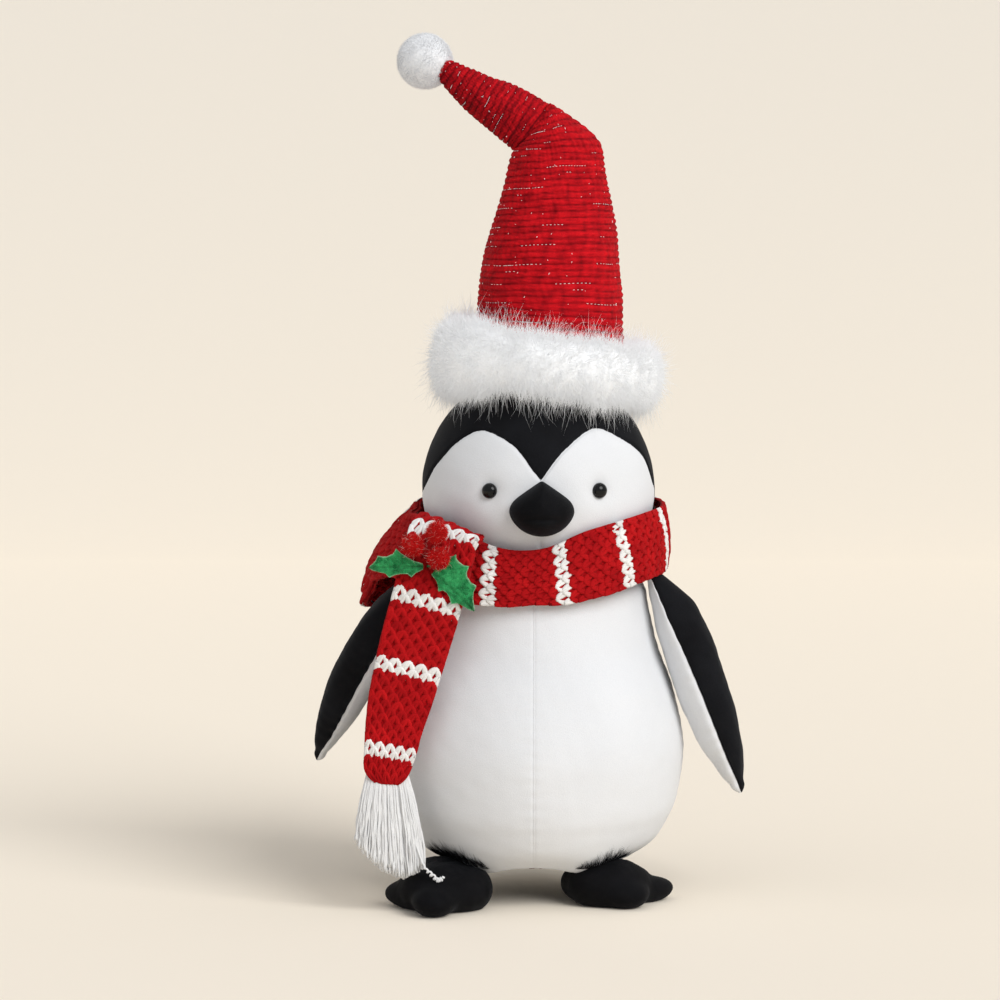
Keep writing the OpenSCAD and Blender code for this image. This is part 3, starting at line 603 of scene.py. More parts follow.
def beak():
    """The stuffed black beak: two sewn panels with a soft crease across."""
    middle_x, crease_z, half, out = 5.0, 254.0, 20.6, 23.5
    mouth_z, lip_z = 250.6, 245.5
    turn = np.linspace(0, 2 * math.pi, 144, endpoint=False)
    u = np.cos(turn)
    edge_z = np.where(np.sin(turn) >= 0, beak_height(u, True), -beak_height(u, False))
    s = np.sin(np.linspace(0.5 * math.pi, 0.004, 46))[:, None]
    x = middle_x + s * u * half
    z = crease_z + s * edge_z
    v = (z - HEAD_Z) / np.where(z < HEAD_Z, HEAD_DOWN, HEAD_UP)
    r = HEAD_R * np.sqrt(np.maximum(0, 1 - v**2))
    face = np.sqrt(np.maximum(0, r**2 - (x - HEAD_X) ** 2))
    dome = np.sqrt(np.maximum(0, 1 - s**2.3))
    mouth = 1.9 * np.exp(-((z - mouth_z) / 1.7) ** 2) * np.maximum(0, 1 - (u * s / 0.75) ** 2)
    lip = 1.3 * np.exp(-((z - lip_z) / 3.5) ** 2) * np.maximum(0, 1 - (u * s / 0.8) ** 2)
    droop = 1 - 0.10 * np.clip((z - crease_z) / 20, 0, 1)
    flat = np.stack([x, -face, z], -1)
    soft = 0.3 * wobble(flat, 18, 21)
    y = -face - dome * (out * droop + soft) + (mouth - lip) * dome + 1.2 * s**30
    rings = np.stack([x, y, z], -1)
    points, faces = lathe_rings(rings)
    piece = new_piece("beak", points, [f[:, ::-1] for f in faces], BLACK_VELOUR)
    return settle(piece, "penguin", "black_velour", "beak_upper", "beak_lower", "beak_stuffing",
                  fill=0.8)


beak()

# ---- flippers ----

FLIPPER_LEN, BOW, FLIPPER_THICK = 151.0, 4.0, 1.0
# Part of the length, half thickness, half width.
SECTIONS = [(-0.03, 2.2, 11), (0, 3.6, 13), (0.08, 6.9, 17), (0.2, 11.7, 21), (0.4, 15, 23.5),
            (0.6, 14.5, 22), (0.75, 12, 18), (0.88, 7.5, 11.5), (0.945, 4.2, 6.2),
            (0.975, 3.6, 4.6), (1, 1.0, 1.4)]
FLIPPERS = {
    "left": {"at": (-77, -15, 207), "mirror": -1, "out": 28.0, "back": 19.5, "twist": 12.0,
             "seam": 34.0},
    "right": {"at": (77, -15, 207), "mirror": 1, "out": 22.5, "back": 0.0, "twist": 0.0,
              "seam": 10.0},
}
# How much fuller each is than its sections: part of the length, outside, inside.
FULLER = {"left": [(-0.05, 0, 0), (0.1, 2, 0), (0.25, 2.5, 0), (0.45, 0, 0), (1.01, 0, 0)],
          "right": [(-0.05, 2, 0), (0.08, 5, 0), (0.18, 6, 0.6), (0.35, 3, 2.2), (0.5, 0.5, 3.4),
                    (0.75, 0, 3.6), (0.93, 0, 2.0), (1.01, 0, 0)]}


def turn_about(points, axis, degrees):
    """The points turned about an axis through the origin."""
    return points @ np.array(Matrix.Rotation(math.radians(degrees), 3, axis)).T


def flipper_frame(points, side):
    """From a flipper hanging straight down, its outside towards +X, to its place."""
    f = FLIPPERS[side]
    points = turn_about(points, "Z", f["twist"])
    points = turn_about(points, "X", f["back"])
    points = turn_about(points, "Y", -f["out"])
    return points * [f["mirror"], 1, 1] + f["at"]


def flipper_half(side, outside):
    """One sewn panel of a flipper, full in the middle and pinched along its seam."""
    t = np.linspace(-0.03, 1, 150)
    t = t + 0.02 * np.sin(t * math.pi) ** 2
    thick = table(t, SECTIONS, 1)[:, None]
    wide = table(t, SECTIONS, 2)[:, None]
    # The front seam lies round towards the body by this much, less near the tip.
    shift = math.radians(FLIPPERS[side]["seam"]) * np.clip((1.02 - t) * 6, 0, 1)[:, None]
    u = np.linspace(0, 1, 64)[None]
    u = 0.55 * u + 0.45 * (1 - np.cos(math.pi * u)) / 2
    begin = -math.pi / 2 - shift
    a = begin + (math.pi + shift) * u if outside else begin - (math.pi - shift) * u
    seed = 31 if side == "left" else 37
    z = -FLIPPER_LEN * t[:, None] + 0 * a
    edge = wide * 2.2 * np.minimum(u, 1 - u)
    flat = np.stack([thick * np.cos(a), wide * np.sin(a), z], -1)
    crumple = 0.5 * np.sin(z * 0.62 + 2 * np.sin(z * 0.11) + seed) * np.exp(-edge / 4)
    pinch = -1.1 * np.exp(-(edge / 1.3) ** 2)
    soft = 0.7 * wobble(flat, 34, seed) + 0.16 * wobble(flat, 9, seed + 1)
    swell = (soft + crumple + pinch) * np.minimum(1, thick / 6)
    full = table(t, FULLER[side], 1 if outside else 2)[:, None] * np.abs(np.cos(a)) ** 1.2
    x = thick * np.sign(np.cos(a)) * np.abs(np.cos(a)) ** 0.86 + swell * np.cos(a) \
        + np.sign(np.cos(a)) * full
    y = (wide + swell) * np.sin(a)
    grid = np.stack([BOW * np.sin(math.pi * t)[:, None] + x, y, z], -1)
    grid = flipper_frame(grid, side)
    if outside != (side == "left"):
        grid = grid[:, ::-1]
    return grid


def flipper(side):
    """Both panels of a flipper. The outer one stands for its stuffing too."""
    for part, held, material, slot in (("outer", ["stuffing"], BLACK_PLUSH, "black_plush"),
                                       ("inner", [], WHITE_PLUSH, "white_plush")):
        panel = shell(f"flipper_{side}_{part}_panel", flipper_half(side, part == "outer"),
                      FLIPPER_THICK, material)
        settle(panel, f"{side}_flipper", slot, *(f"flipper_{side}_{k}" for k in [part, *held]),
               fill=0.8)


flipper("left")
flipper("right")

# ---- feet ----

# Where each foot stands, its turn, and its lobes: middle, half size and turn of each.
FEET = {
    "left": {"at": (-59, -46), "turn": -1.0, "lobes": [
        ((0, 12, 9), (24, 34, 12), 0), ((1, -21, 13), (29, 25, 16.5), 0),
        ((0, -2, 14), (26, 20, 17.5), 0),
        ((-3, -44, 8.5), (14, 16, 9.5), 0), ((-20, -17, 8.0), (10, 21, 8.6), 46),
        ((20, -19, 12), (12.5, 19, 13.5), -15)]},
    "right": {"at": (52, -23), "turn": 2.0, "lobes": [
        ((0, 10, 9), (24, 32, 12), 0), ((-3, -20, 12.5), (27, 23, 16.5), 0),
        ((-9, -29, 13), (21, 17, 15), 0),
        ((6, -37, 8.5), (14, 15, 9.5), -5), ((-21, -13, 11.5), (13, 19, 12), 24),
        ((21, -15, 7.5), (11, 21, 8.5), -52)]},
}


def foot(side):
    """A plush foot: a heel under the body, a fat instep, and three round toes."""
    f = FEET[side]
    turn = np.linspace(0, 2 * math.pi, 150, endpoint=False)
    lift = np.linspace(-math.pi / 2, math.pi / 2, 82)[1:-1, None]
    aim = polar(np.cos(lift), turn, np.sin(lift))
    heart = np.array([0, -6, 11.0])
    blend, swell = 7.0, 0.96

    def inside(p):
        total = 0
        for centre, radii, swing in f["lobes"]:
            q = turn_about(p - centre, "Z", -swing) / radii
            total = total + np.exp(-blend * (np.linalg.norm(q, axis=-1) - swell))
        return total > 1

    low, high = np.zeros(aim.shape[:2]), np.full(aim.shape[:2], 90.0)
    for _ in range(22):
        middle = (low + high) / 2
        full = inside(heart + aim * middle[..., None])
        low, high = np.where(full, middle, low), np.where(full, high, middle)
    out = low + 0.35 * wobble(aim * 30, 16, 51) + 0.15 * wobble(aim * 30, 5, 52)
    p = heart + aim * out[..., None]
    p[..., 2] = np.maximum(p[..., 2], 0.35 + 0.12 * wobble(p, 20, 53))
    p = turn_about(p, "Z", f["turn"]) + [*f["at"], 0]
    # The upper stays just under the body: its base inside the base's radius, its curve beyond.
    reach = np.hypot(p[..., 0], p[..., 1])
    base_r = BODY_LINE[0, 0]
    ceiling = np.interp(reach, [base_r, base_r + 6, 96], [BASE_Z - 1.7, 33.5, 60])
    p[..., 2] = np.minimum(p[..., 2], ceiling)
    points, faces = lathe_rings(p)
    settle(new_piece(f"foot_{side}", points, faces, BLACK_VELOUR), "penguin", "black_velour",
           f"foot_{side}_upper", f"foot_{side}_stuffing", f"foot_{side}_sole", fill=0.8)


foot("left")
foot("right")


def foot_fuzz(side, first, last, low, seed):
    """Black fibres that stray up over the belly from a foot's seam, between two turns from the
    front and from a lowest height."""
    rng = np.random.default_rng(seed)
    count, thick = 650, 0.11
    turn = np.radians(270 + rng.uniform(first, last, count))[:, None]
    share = np.linspace(0, 1, 6)[None]
    edge = np.sin(np.pi * (np.degrees(turn) - 270 - first) / (last - first))
    length = rng.uniform(3.5, 14.0, (count, 1)) * (0.35 + 0.65 * edge)
    lean = rng.normal(-0.5, 0.5, (count, 1))
    z = low + rng.uniform(0, 5.0, (count, 1)) + 4.0 * edge + length * share * np.cos(lean)
    turn = turn + length * share * np.sin(lean) / 80
    r = np.interp(z + body_sag(turn, z), BODY_LINE[:60, 1], BODY_LINE[:60, 0]) + 0.35
    r = r + 0.5 * share * rng.uniform(0, 1.5, (count, 1))
    points, faces, _ = tubes(polar(r, turn, z), thick * (1.1 - share), 3, pointed=True)
    settle(new_piece(f"foot_{side}_fuzz", points, faces, BLACK_VELOUR), "penguin", "black_velour")


foot_fuzz("left", -64, -24, 24.0, 54)
foot_fuzz("right", 23, 62, 20.5, 55)

# ---- knitting ----

# Loops across the scarf, a loop's width and a row's height in mm, and the rows that one loop
# reaches over.
UNITS, UNIT_WIDE, PITCH, ROWS_TALL = 5, 8.6, 4.45, 1.8
YARN, INSIDE_YARN = 1.55, 1.2


def stitches(surface, first, last, white, radius, seed, side=1, span=None):
    """Loops of two-ply yarn over a lattice of rows. q runs from -1 to 1 along a loop, up one leg,
    over and down the other. The rows in white are white. Returns each colour's mesh:
    {"red": (points, faces, tone), "white": ...}."""
    rng = np.random.default_rng(seed)
    q = np.linspace(-1, 1, 13)
    made = {}
    sides = 6
    groups = {"red": [], "white": []}
    for k in range(first, last):
        middles = np.arange(UNITS) + 0.5 if k % 2 == 0 else np.arange(UNITS + 1.0)
        groups["white" if k in white else "red"] += [(k, m) for m in middles]
    for colour, cells in groups.items():
        if not cells:
            continue
        cells = np.array(cells, float)
        jog = rng.normal(size=(len(cells), 3))
        # White legs end thin and deep, so that they don't show in the holes of a red row.
        tuck = q**10 if colour == "white" else 0 * q
        plies = []
        way = np.where(cells[:, :1] % 2 == 0, 1, -1)
        for ply in (-1, 1):
            turn = 0.5 * math.pi * (q + 1) * ply + 0.25 * jog[:, :1]
            rows = cells[:, :1] + ROWS_TALL * (1 - np.abs(q) ** 1.55) + 0.05 * jog[:, :1] \
                + 0.23 * ply * way * np.cos(turn) * (1 - 0.4 * np.abs(q))
            units = cells[:, 1:] + 0.5 * q * (1 + 0.05 * jog[:, 1:2]) + 0.02 * jog[:, 2:] \
                + 0.10 * ply * way * np.sin(2.2 * q)
            if span is not None:
                rows = np.clip(rows, span[0], span[1])
            units = np.clip(units, 0.15, UNITS - 0.15)
            rise = -0.1 + 0.85 * (1 - q**2) + 0.14 * jog[:, :1] + 0.28 * ply * np.sin(turn)
            plies.append(surface(rows, units, side * (0.75 + rise - tuck)))
        paths = np.concatenate(plies)
        wide = surface(cells[:, :1] + 1, np.full((len(cells), 1), 3.0), 0.0) \
            - surface(cells[:, :1] + 1, np.full((len(cells), 1), 2.0), 0.0)
        scale = np.clip(np.linalg.norm(wide, axis=-1) / UNIT_WIDE, 0.6, 1.0)
        thin = 1 - 0.10 * np.abs(q) ** 2 - 0.65 * tuck
        thick = radius * (0.96 if colour == "white" else 1.0)
        points, faces, _ = tubes(paths, thick * np.tile(scale, (2, 1)) * thin, sides)
        # Painted shade where a loop's legs dip under the row below; each loop's own tone also differs at
        # random.
        painted_loop_shade = 0.62 + 0.38 * (1 - q**2) ** 0.7
        tone = np.clip(painted_loop_shade[None] * (0.84 + 0.16 * jog[:, 1:2]), 0, 1)
        tone = np.tile(tone, (2, 1))
        tone = np.concatenate([np.repeat(tone, sides, axis=1), tone[:, -1:], tone[:, :1]], 1)
        made[colour] = (points, faces, tone)
    return made


def white_rows(centres):
    """The two knitted rows that make each white stripe, from the stripes' middles in rows."""
    return {k for c in centres for k in (round(c - 1.4), round(c - 1.4) + 1)}


# The loop round the neck: angle from the front towards the right, radius and height of its upper
# edge, radius and height of its lower edge.
WRAP = [(0, 72, 230.5, 79, 195), (16, 74.5, 237, 79.5, 196.5), (30, 77, 242.5, 80.5, 200),
        (43, 79, 247.5, 82, 204), (58, 80.5, 251, 83.5, 208), (75, 82, 253.5, 84.5, 211.5),
        (110, 83, 257, 84, 214), (150, 83, 262, 83, 218), (195, 83, 262, 83, 217),
        (230, 82, 259, 103, 196), (248, 77.5, 256.5, 119, 181.5), (262, 77, 250.5, 106, 200),
        (285, 79, 249.5, 92, 208), (312, 79, 247, 87, 199), (340, 73.5, 232, 80, 195)]
WRAP = [(a - 360, *rest) for a, *rest in WRAP[-3:]] + WRAP + [(a + 360, *rest)
                                                              for a, *rest in WRAP[:3]]
# How far the rows lean there, in degrees from edge to edge.
WRAP_SHEAR = [(-60, 0), (-20, -1), (13, 1.5), (46, 6.5), (80, 7), (120, 3), (180, 0), (300, 0),
              (420, 6)]
WRAP_ROWS, WRAP_START = 118, 180.0
WRAP_STRIPES = [13.0, 45.7, 78.5, 111.2, 143.9, 176.6, 209.4, 248.0, 307.5, 340.3]
# Where its cloth is gathered: the folds' middle and how far they spread, in degrees, and the
# radians of their wave in one degree. FLARE is where the loop stands out over the flipper.
WRAP_FOLDS = [(325, 9, 0.62), (246, 14, 0.35)]
FOLD_DEEP, FLARE = 2.0, 253


def wrap_surface(rows, units, out):
    """A point on the loop, at a row round it and a unit down it, out from its middle sheet."""
    a = WRAP_START - rows * 360 / WRAP_ROWS
    t = units / UNITS
    a = (a + np.interp((a + 60) % 360 - 60, *np.array(WRAP_SHEAR).T) * (t - 0.5)) % 360
    columns = [table(a, WRAP, c) for c in (1, 2, 3, 4)]
    fold = sum(FOLD_DEEP * np.exp(-((a - at) / spread) ** 2) * np.sin((a - at) * close)
               for at, spread, close in WRAP_FOLDS)
    bulge = 2.5 + 8.0 * np.exp(-((a - FLARE) / 20) ** 2)
    r = columns[0] + (columns[2] - columns[0]) * t + bulge * np.sin(math.pi * t) + out + fold
    z = columns[1] + (columns[3] - columns[1]) * t
    a = np.radians(a)
    p = np.stack(np.broadcast_arrays(r * np.sin(a), -r * np.cos(a), z), -1)
    p[..., 2] += 0.8 * wobble(p, 40, 61)
    return p


def hanging(z, x, y, wide):
    """A row across the hanging part, square to its slanted middle line."""
    slope = np.interp(z, [84, 100, 130, 206], [0.05, 0.18, 0.25, 0.27])
    half = wide / 2 / math.hypot(1, slope)
    return (x - half, y, z + half * slope, x + half, y - 0.6, z - half * slope)


# The strip's hanging part from its end up: height, middle x and y, and width.
HANGING = [(82.5, -92.0, -82.6, 11), (85, -92.5, -82.8, 20), (91.5, -92.6, -82.8, 29),
           (105.7, -90.1, -82.4, 33.5), (118.2, -88.2, -82.3, 36), (136.9, -83.9, -82.5, 40.2),
           (168.2, -75.7, -83, 43.4), (187, -70.4, -83.6, 44.4)]
# The whole strip as rows across it: x, y, z of its left edge, then of its right edge. The last
# rows cross the loop.
STRIP = [hanging(*place) for place in HANGING] + [
         (-86.6, -82.5, 212, -43.6, -86.2, 199.9),
         (-82.5, -78.5, 228, -39.4, -87, 218), (-79.5, -72, 240.5, -35.8, -85, 234),
         (-76.2, -64, 247.5, -33.2, -81.5, 236.5), (-72.5, -50, 250.5, -31, -76.5, 235.5)]
STRIP_DENSE = curve_through(STRIP, 260)
STRIP_LINE = (STRIP_DENSE[:, :3] + STRIP_DENSE[:, 3:]) / 2
STRIP_ALONG = np.r_[0, np.cumsum(np.linalg.norm(np.diff(STRIP_LINE, axis=0), axis=1))]
STRIP_ROWS = round(STRIP_ALONG[-1] / PITCH)
STRIP_STRIPES = (102.0, 152.0, 198.5, 239.5)


def strip_place(rows, u):
    """A point on the strip's flat sheet: u runs from -1 to 1 across it."""
    s = rows * STRIP_ALONG[-1] / STRIP_ROWS
    ends = np.stack([np.interp(s, STRIP_ALONG, STRIP_DENSE[:, k]) for k in range(6)], -1)
    share = (u[..., None] + 1) / 2
    return ends[..., :3] * (1 - share) + ends[..., 3:] * share


def strip_surface(rows, units, out):
    """A point on the strip, at a row up it and a unit across it, out from its middle sheet."""
    rows, units, out = np.broadcast_arrays(rows, units, out)
    u = units / UNITS * 2 - 1
    up = strip_place(rows + 0.6, u) - strip_place(rows - 0.6, u)
    across = strip_place(rows, u + 0.05) - strip_place(rows, u - 0.05)
    outward = unit(np.cross(across, up))
    # Outward is always towards the front.
    outward = np.where(outward[..., 1:2] > 0, -outward, outward)
    crown = 1.3 * (1 - u**2) - 0.5
    s = rows * PITCH
    ripple = 0.9 * wobble(np.stack([s, 8 * u, 0 * s], -1), 34, 63)
    return strip_place(rows, u) + outward * (out + crown + ripple)[..., None]


def strip_row_at(z):
    """The strip's row at a height."""
    return float(np.interp(z, STRIP_LINE[:, 2], STRIP_ALONG)) / PITCH


def knit_pieces(name, made, body, **nodes):
    """One layer of knitting, as a piece of each colour."""
    return [settle(new_piece(f"{name}_{colour}_yarn", points, faces,
                             RED_KNIT if colour == "red" else WHITE_KNIT, tone),
                   body, f"{colour}_knit", *nodes.get(colour, []))
            for colour, (points, faces, tone) in made.items()]


def scarf_wrap():
    """The loop round the neck: yarn all round, yarn inside where it stands open, and a ground."""
    stripe_rows = white_rows([((WRAP_START - angle) % 360) * WRAP_ROWS / 360
                              for angle in WRAP_STRIPES])
    made = stitches(wrap_surface, 0, WRAP_ROWS, {k % WRAP_ROWS for k in stripe_rows}, YARN, 64)
    pieces = knit_pieces("scarf_loop", made, "penguin", red=["scarf_wrap_red"],
                         white=["scarf_wrap_white"])
    first, last = (round((WRAP_START + 360 - a) * WRAP_ROWS / 360) for a in (305, 225))
    inside = stitches(wrap_surface, first, last, set(), INSIDE_YARN, 67, -1)
    pieces += knit_pieces("scarf_loop_inside", inside, "penguin")
    rows = np.linspace(0, WRAP_ROWS, 300)[:, None]
    grid = wrap_surface(rows, np.linspace(0.08, UNITS - 0.08, 22)[None], 0.1)
    # The ground's darker red is painted shade in the holes between the loops.
    ground = shell("scarf_loop_ground", grid, 1.3, KNIT_BACK)
    settle(ground, "penguin", "red_knit")


def scarf_strip():
    """The strip that crosses the loop and hangs: yarn in front and behind, and a ground."""
    fold = ("penguin", "scarf_tail", [-66.3, -83, 191], [-66.3, -83, 176])
    stripe_rows = white_rows([strip_row_at(z) for z in STRIP_STRIPES])
    nodes = {"red": ["scarf_crossing_red", "scarf_tail_red"],
             "white": ["scarf_crossing_white", "scarf_tail_white"]}
    pieces = []
    for side, face, used in ((1, "front", nodes), (-1, "back", {})):
        made = stitches(strip_surface, 0, STRIP_ROWS - 1, stripe_rows, YARN, 65 + side, side,
                        (0.15, STRIP_ROWS - 0.1))
        pieces += knit_pieces(f"scarf_strip_{face}", made, fold, **used)
    rows = np.linspace(0.1, STRIP_ROWS - 0.1, 150)[:, None]
    grid = strip_surface(rows, np.linspace(0.1, UNITS - 0.1, 30)[None], 0.45)
    # The ground's darker red is painted shade in the holes between the loops.
    ground = shell("scarf_strip_ground", grid[:, ::-1], 0.9, KNIT_BACK)
    settle(ground, fold, "red_knit")


scarf_wrap()
scarf_strip()

# ---- tassel ----

TASSEL_X, TASSEL_Y, TASSEL_TOP = -92.6, -82, 90
TASSEL_HALF, TASSEL_NECK = [22.3, 8.2], [12.0, 3.0]
TASSEL_BEND = ("scarf_tail", "tassel", [-89, -82, 86], [-89, -82, 73])


def tassel():
    """A gathered hank of white yarn that spreads to a ragged hem."""
    rng = np.random.default_rng(71)
    count, n, radius = 620, 22, 0.66
    s = np.linspace(0, 1, n)[None, :, None]
    angle = rng.uniform(0, 2 * math.pi, count)
    share = np.sqrt(rng.uniform(0, 1, count))
    half_x, half_y = TASSEL_HALF
    end = np.stack([half_x * share * np.cos(angle), half_y * share * np.sin(angle)], -1)
    neck = end / TASSEL_HALF * TASSEL_NECK
    hem = np.interp(end[:, 0], [-half_x, -14, -5, 8, half_x], [42, 34, 27, 21.5, 26])
    low = hem + 5.0 * rng.uniform(0, 1, count) * (0.3 + 0.7 * share) + 2 * share**2
    spread = s**0.75 * (1 + 0.12 * np.sin(s * math.pi))
    xy = neck[:, None] + (end + [1.9, 0] - neck)[:, None] * spread
    z = TASSEL_TOP + (low[:, None] - TASSEL_TOP) * s[..., 0]
    wave = rng.uniform(0, 6.28, (count, 1, 2))
    xy = xy + 0.5 * np.sin(s * rng.uniform(7, 22, (count, 1, 2)) + wave) * s
    xy[..., 1] += 2.6 * (1 - s[..., 0]) ** 3
    paths = np.concatenate([xy + [TASSEL_X, TASSEL_Y], z[..., None]], -1)
    radii = np.full((count, n), radius) * (1 + 0.10 * np.sin(s[..., 0] * 90 + wave[..., 0]))
    points, faces, each = tubes(paths, radii, 6)
    tone = np.repeat(rng.uniform(0.7, 1.0, count), each)
    # The bound top stays in the scarf's end.
    settle(new_piece("tassel_yarns", points, faces, WHITE_YARN, tone), TASSEL_BEND,
           "white_yarn", "tassel")
    # One yarn has come unravelled and rests on the foot, still crimped from the knitting.
    steps, coils, radius = 90, 58, 0.75
    t = np.linspace(0, 1, steps)
    line = curve_through([(-76, -84.5, 50), (-72, -86.5, 38), (-68.5, -88, 30), (-64.5, -88.6, 26),
                          (-60.5, -89, 22.5), (-57.5, -88.6, 23.5)], steps)
    crimp = 1.1 * np.clip((t - 0.25) * 3, 0, 1)
    line[:, 0] += np.sin(t * coils) * crimp
    line[:, 2] += np.cos(t * coils) * crimp
    points, faces, _ = tubes(line[None], np.full((1, steps), radius), 6)
    stray = new_piece("tassel_stray_yarn", points, faces, WHITE_YARN, np.ones(len(points)))
    settle(stray, "tassel", "white_yarn")


tassel()

# ---- holly ----

# Each leaf's ends as x and z, and how far its upper and lower edges lie from its rib along it.
LEAVES = {
    "left": {"base": (-69.5, 221.0), "tip": (-103.0, 220.3),
             "upper": [(0, 1.6), (5, 3.4), (9.5, 5.8), (13, 8.4), (16.2, 11.6), (18.5, 8.2),
                       (22, 6.8), (25, 6.6), (27.7, 7.4), (29.5, 4.2), (31.4, 2.2), (33.4, 0.1)],
             "lower": [(0, 1.6), (4, 3.6), (7.2, 6.4), (9.5, 4.4), (14, 4.2), (18, 4.8), (21, 6.4),
                       (23.5, 3.8), (28, 2.6), (31, 1.6), (33.4, 0.1)]},
    "right": {"base": (-62.5, 217.5), "tip": (-37.4, 193.2),
              "upper": [(0, 2.2), (1.8, 17.8), (4.5, 15.6), (7.2, 15.4), (10, 16.0), (12.9, 18.2),
                        (14.6, 14.0), (17, 12.2), (21, 11.4), (25, 12.0), (26.5, 8.2), (29.1, 5.0),
                        (32, 2.6), (34.7, 0.1)],
              "lower": [(0, 1.8), (5.2, 2.9), (8, 4.4), (10.4, 6.6), (12, 4.0), (14.5, 3.6),
                        (18, 4.4), (21.8, 6.8), (23.6, 4.0), (27, 2.8), (31, 1.8), (34.7, 0.1)]},
}
LEAF_Y = -92.2


def leaf(side, seed):
    """A felt holly leaf: spiked edges with hollows between, a folded midrib, and pale cut edges."""
    f = LEAVES[side]
    base, tip = np.array(f["base"]), np.array(f["tip"])
    length = np.linalg.norm(tip - base)
    along_dir = (tip - base) / length
    up_dir = np.array([along_dir[1], -along_dir[0]])
    if up_dir[1] < 0:
        up_dir = -up_dir
    s = np.linspace(0.0, length, 150)
    upper = np.interp(s, *np.array(f["upper"]).T)
    lower = np.interp(s, *np.array(f["lower"]).T)
    v = np.linspace(-1, 1, 46)
    h = np.where(v[:, None] > 0, v[:, None] * upper, v[:, None] * lower)
    xz = base + along_dir * s[None, :, None] + up_dir * h[..., None]
    flat = np.stack([xz[..., 0], 0 * h, xz[..., 1]], -1)
    rib = 0.8 * np.exp(-(h / 1.0) ** 2)
    curl = 0.010 * h**2 + 0.0016 * (s[None] - 0.4 * length) ** 2
    veins = 0.22 * np.sin((s[None] - 0.8 * np.abs(h)) * 1.3)
    y = LEAF_Y + rib - np.minimum(curl, 2.6) + veins * 0.5 + 0.35 * wobble(flat, 9, seed)
    grid = np.stack([xz[..., 0], y, xz[..., 1]], -1)
    tone = np.clip((1 - np.abs(v))[:, None] * np.maximum(upper, lower)[None] / 0.9, 0, 1)
    tone = tone * np.clip((length - s[None]) / 1.2, 0, 1)
    if side == "right":
        grid, tone = grid[::-1], tone[::-1]
    piece = shell(f"leaf_{side}", grid[::-1], 1.0, GREEN_FELT, tone[::-1])
    settle(piece, "penguin", "green_felt", f"holly_leaf_{side}")
    rng = np.random.default_rng(seed)
    pick = rng.integers(0, grid.shape[0] * grid.shape[1], 2600)
    roots = grid.reshape(-1, 3)[pick]
    normals = grid_normals(grid).reshape(-1, 3)[pick]
    normals = np.where(normals[:, 1:2] > 0, -normals, normals)
    fuzz = hairs(f"leaf_{side}_fuzz", roots, unit(normals + 0.9 * rng.normal(size=roots.shape)),
                 rng.uniform(0.5, 1.3, len(roots)), 0.07, GREEN_FELT, "green_felt",
                 tones=rng.uniform(0.75, 1, len(roots)), steps=3, seed=seed)


leaf("left", 81)
leaf("right", 82)


def sphere_points(count, seed):
    """Evenly scattered directions."""
    i = np.arange(count) + 0.5
    lift = np.arccos(1 - 2 * i / count)
    turn = math.pi * (1 + 5**0.5) * i
    jog = np.random.default_rng(seed).normal(size=(count, 3)) * 0.03
    return unit(polar(np.sin(lift), turn, np.cos(lift)) + jog)


def ball(centre, radius, rough, seed, rows=40, cols=60):
    """A lumpy ball as rings of points."""
    lift = np.linspace(-math.pi / 2, math.pi / 2, rows + 2)[1:-1, None]
    turn = np.arange(cols) * 2 * math.pi / cols
    aim = polar(np.cos(lift), turn, np.sin(lift))
    return np.array(centre) + aim * (radius + rough * wobble(aim * 10, 6, seed))[..., None]


BERRIES = [(-75.5, -96, 234.5), (-60.5, -96, 242.5), (-59.5, -96, 226.5)]
BERRY_R = 5.9


def berry(i):
    """A berry wound from fluffy red tinsel yarn."""
    rng = np.random.default_rng(90 + i)
    points, faces = lathe_rings(ball(BERRIES[i], BERRY_R, 0.35, 91 + i))
    core = new_piece(f"berry_{i + 1}", points, faces, RED_FLUFF, np.full(len(points), 0.25))
    settle(core, "penguin", "red_tinsel", f"holly_berry_{i + 1}", fill=0.9)
    aim = sphere_points(2600, 92 + i)
    hairs(f"berry_{i + 1}_fluff", np.array(BERRIES[i]) + aim * (BERRY_R - 0.2),
          unit(aim + 0.42 * rng.normal(size=aim.shape)), rng.uniform(1.0, 2.4, len(aim)), 0.13,
          RED_FLUFF, "red_tinsel", tones=rng.uniform(0.2, 1, len(aim)), steps=4, sway=0.25,
          seed=93 + i)
    aim = sphere_points(85, 94 + i)
    hairs(f"berry_{i + 1}_tinsel", np.array(BERRIES[i]) + aim * (BERRY_R + 0.1),
          unit(aim + 0.6 * rng.normal(size=aim.shape)), rng.uniform(1.6, 4.2, len(aim)), 0.10,
          TINSEL, "red_tinsel", steps=4, sway=0.4, seed=95 + i)


for berry_number in range(len(BERRIES)):
    berry(berry_number)

# ---- hat ----

# The hat's outlines, inner (left) x, z and outer (right) x, z: its cone up to the crease, and the
# tip that comes out of the crease.
HAT_CONE = [(-39.8, 336, 58.8, 326), (-38.3, 354, 59, 346), (-37, 373, 58.4, 368),
            (-36.2, 391, 57.4, 390), (-32.5, 416.7, 54.9, 418.5), (-25.9, 440.3, 51.2, 443.5),
            (-19.2, 464.1, 46.2, 467.5), (-14.8, 481, 43.8, 483.5), (-12.4, 485.3, 40.4, 490.8),
            (-8.2, 489.8, 33.2, 497.9), (-2.9, 496.2, 24.7, 504.4), (2.8, 503.6, 16.3, 510.3),
            (7, 510, 10.8, 513.3)]
HAT_TIP = [(-6.5, 479.7, 15.6, 507.4), (-13, 484.0, 8.8, 513.2), (-20.8, 489.5, -2.6, 520.3),
           (-32.5, 499.8, -16.9, 527.6), (-44.2, 509.6, -30.6, 532.2), (-53.3, 519, -41.6, 536.5),
           (-61.0, 528.4, -50.4, 540.6), (-65.2, 533.5, -56.0, 542.6)]
RIB = 4.15
CREASE, CREASE_WAY = np.array([15.0, 0, 479.85]), np.array([-0.46, 0, 0.89])
